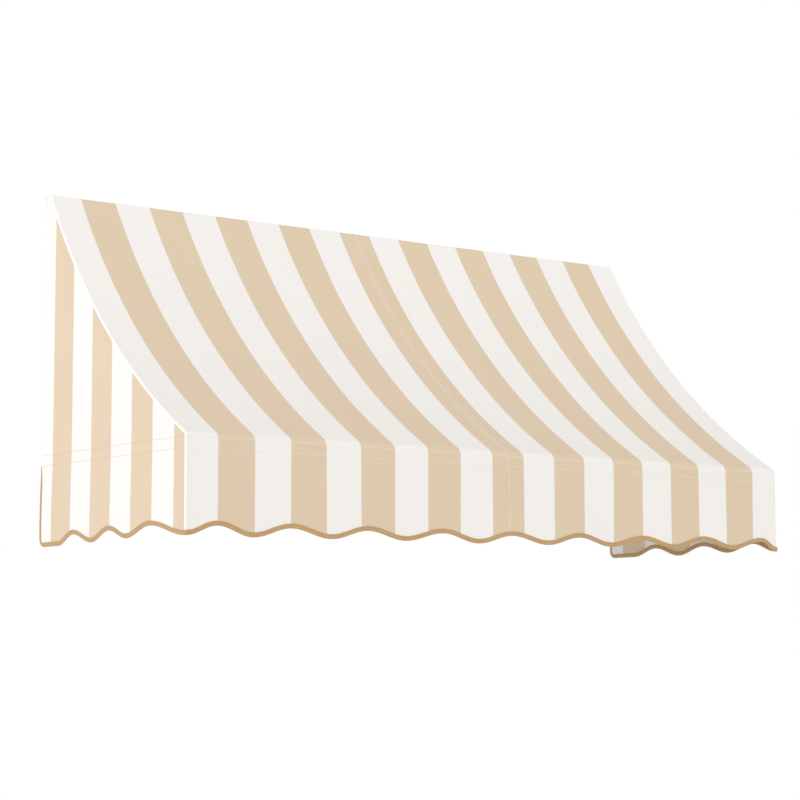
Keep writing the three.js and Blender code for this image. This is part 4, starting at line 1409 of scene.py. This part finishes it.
def sewn_rows(name, rows, finish):
    """Stitches along rows of (point, outward) pairs, on the face and on the back."""
    edit = bmesh.new()
    for line, through in rows:
        lengths = cut_lengths([p for p, _ in line])
        count = int(lengths[-1] / STITCH)
        k = 0
        for i in range(count):
            at = (i + 0.5) * STITCH
            while lengths[k + 1] < at:
                k += 1
            share = (at - lengths[k]) / (lengths[k + 1] - lengths[k])
            p = line[k][0].lerp(line[k + 1][0], share)
            way = (line[k + 1][0] - line[k][0]).normalized()
            out = line[k][1].lerp(line[k + 1][1], share)
            out = (out - way * out.dot(way)).normalized()
            for face, shift in ((1, 0.0), (-1, through)):
                across_row = (out * face).cross(way)
                place = Matrix((way, across_row, out * face)).transposed().to_4x4()
                place.translation = p + out * (face * THREAD * 0.55 - shift)
                before = len(edit.verts)
                edit.from_mesh(stitch.data)
                edit.verts.ensure_lookup_table()
                bmesh.ops.transform(edit, matrix=place, verts=edit.verts[before:])
    return seat(finished_mesh(name, edit), finish, None)


def level_row(z, side=0):
    """A straight row under the fold, across the front or along one side."""
    if side:
        places = stepped(ROW_START, -PROJECTION + 6 * MM, SIDE_ROW_STEPS)
        return [(hang(Vector((side * HALF, y, z))), Vector((side, 0, 0))) for y in places]
    found = []
    for x in stepped(-HALF + 4 * MM, HALF - 4 * MM, FRONT_ROW_STEPS):
        lift = lap_rise(abs(x)) if x > -LAP / 2 else 0.0
        out = fold_shape(FOLD - z, fold_radius(x))[1]
        spot = Vector((x, -PROJECTION + fold_hollow(x, z) - lift, z))
        found.append((hang(spot), Vector((0, *out))))
    return found


def roof_row(x, lift):
    """A row down the roof and the valance at one place across the width."""
    line = []
    for p, n, mark in zip(roof_line, roof_out, roof_marks):
        if p.x < ROW_START:
            if mark is not None:
                shift, n = fold_shape(mark, fold_radius(x))
                p = p + shift
            line.append((Vector((x, *(p + n * lift))), Vector((0, *n))))
    for z in stepped(VALANCE_TOP, ROW_END, DROP_STEPS)[1:]:
        line.append((hang(Vector((x, -PROJECTION - lift, z))), Vector((0, -1, 0))))
    return line


def fold_rows(side=0):
    return [(level_row(FOLD - below, side), CANVAS + STRIP) for below in (FOLD_ROW, LOWER_ROW)]


front_thread = sewn_rows("thread_front_rows", fold_rows(), cream_thread)
seam_rows = [(roof_row(x, LAP_RISE), 2 * CANVAS) for x in (-ROW_FROM_EDGE, ROW_FROM_EDGE)]
seam_thread = sewn_rows("thread_middle_seam", seam_rows, cream_thread)
side_threads = {}
for label, side in (("left", -1), ("right", 1)):
    corner = roof_row(side * (HALF - ROW_FROM_EDGE), CORNER_LIFT)
    side_threads[label] = [
        # The side rows use the cream thread darkened as painted shade.
        sewn_rows("thread_side_" + label, fold_rows(side), sand_thread),
        sewn_rows("thread_corner_" + label, [(corner, 2 * CANVAS)], cream_thread),
    ]
binding_row = [
    (hang(point + out * (gap + TAPE) + up * leg * 0.72), out)
    for point, up, out, leg, gap in stations[2:-2]
]
binding_thread = sewn_rows(
    "thread_binding", [(binding_row, 2 * (TAPE_GAP + TAPE))], tan_thread
)
bpy.data.objects.remove(stitch)

# Making up. The cloths are drawn over the frame with the thread rows in them: what each was cut
# to, and what holds it there.
for side, cloth in (("left", roof_cloth_left), ("right", roof_cloth_right)):
    rests = ["header_bar_tube", "rafter_centre_tube", f"rafter_{side}_tube", "front_bar_tube"]
    carried = [front_thread, seam_thread] if side == "left" else []
    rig.sheet(cloth, flat=CANOPY_FLAT, held="stretched", rests_on=rests, with_pieces=carried)
for side, cloth in (("left", side_cloth_left), ("right", side_cloth_right)):
    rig.sheet(
        cloth, flat=SIDE_FLAT, held="stretched", area=SIDE_AREA,
        rests_on=[f"upright_{side}_tube", f"arm_{side}_tube"],
        with_pieces=side_threads[side],
    )
for side in ("left", "right"):
    front, arm = pockets["front_" + side], pockets["arm_" + side]
    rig.sheet(front, flat=FRONT_POCKET_FLAT, held="folded", rests_on=["front_bar_tube"])
    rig.sheet(arm, flat=ARM_POCKET_FLAT, held="folded", rests_on=[f"arm_{side}_tube"])
for side, cloth in sleeves.items():
    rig.sheet(cloth, flat=SLEEVE_FLAT, held="folded", rests_on=[f"rafter_{side}_tube"])
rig.sheet(
    edge_binding, flat=TAPE_FLAT, held="folded", with_pieces=[binding_thread],
    rests_on=[roof_cloth_left, roof_cloth_right, side_cloth_left, side_cloth_right],
)

low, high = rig.bounds()
sizes = {"cad": [list(cad_low), list(cad_high)], "visual": [list(low), list(high)]}
with open("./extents.json", "w") as record:
    json.dump(sizes, record)
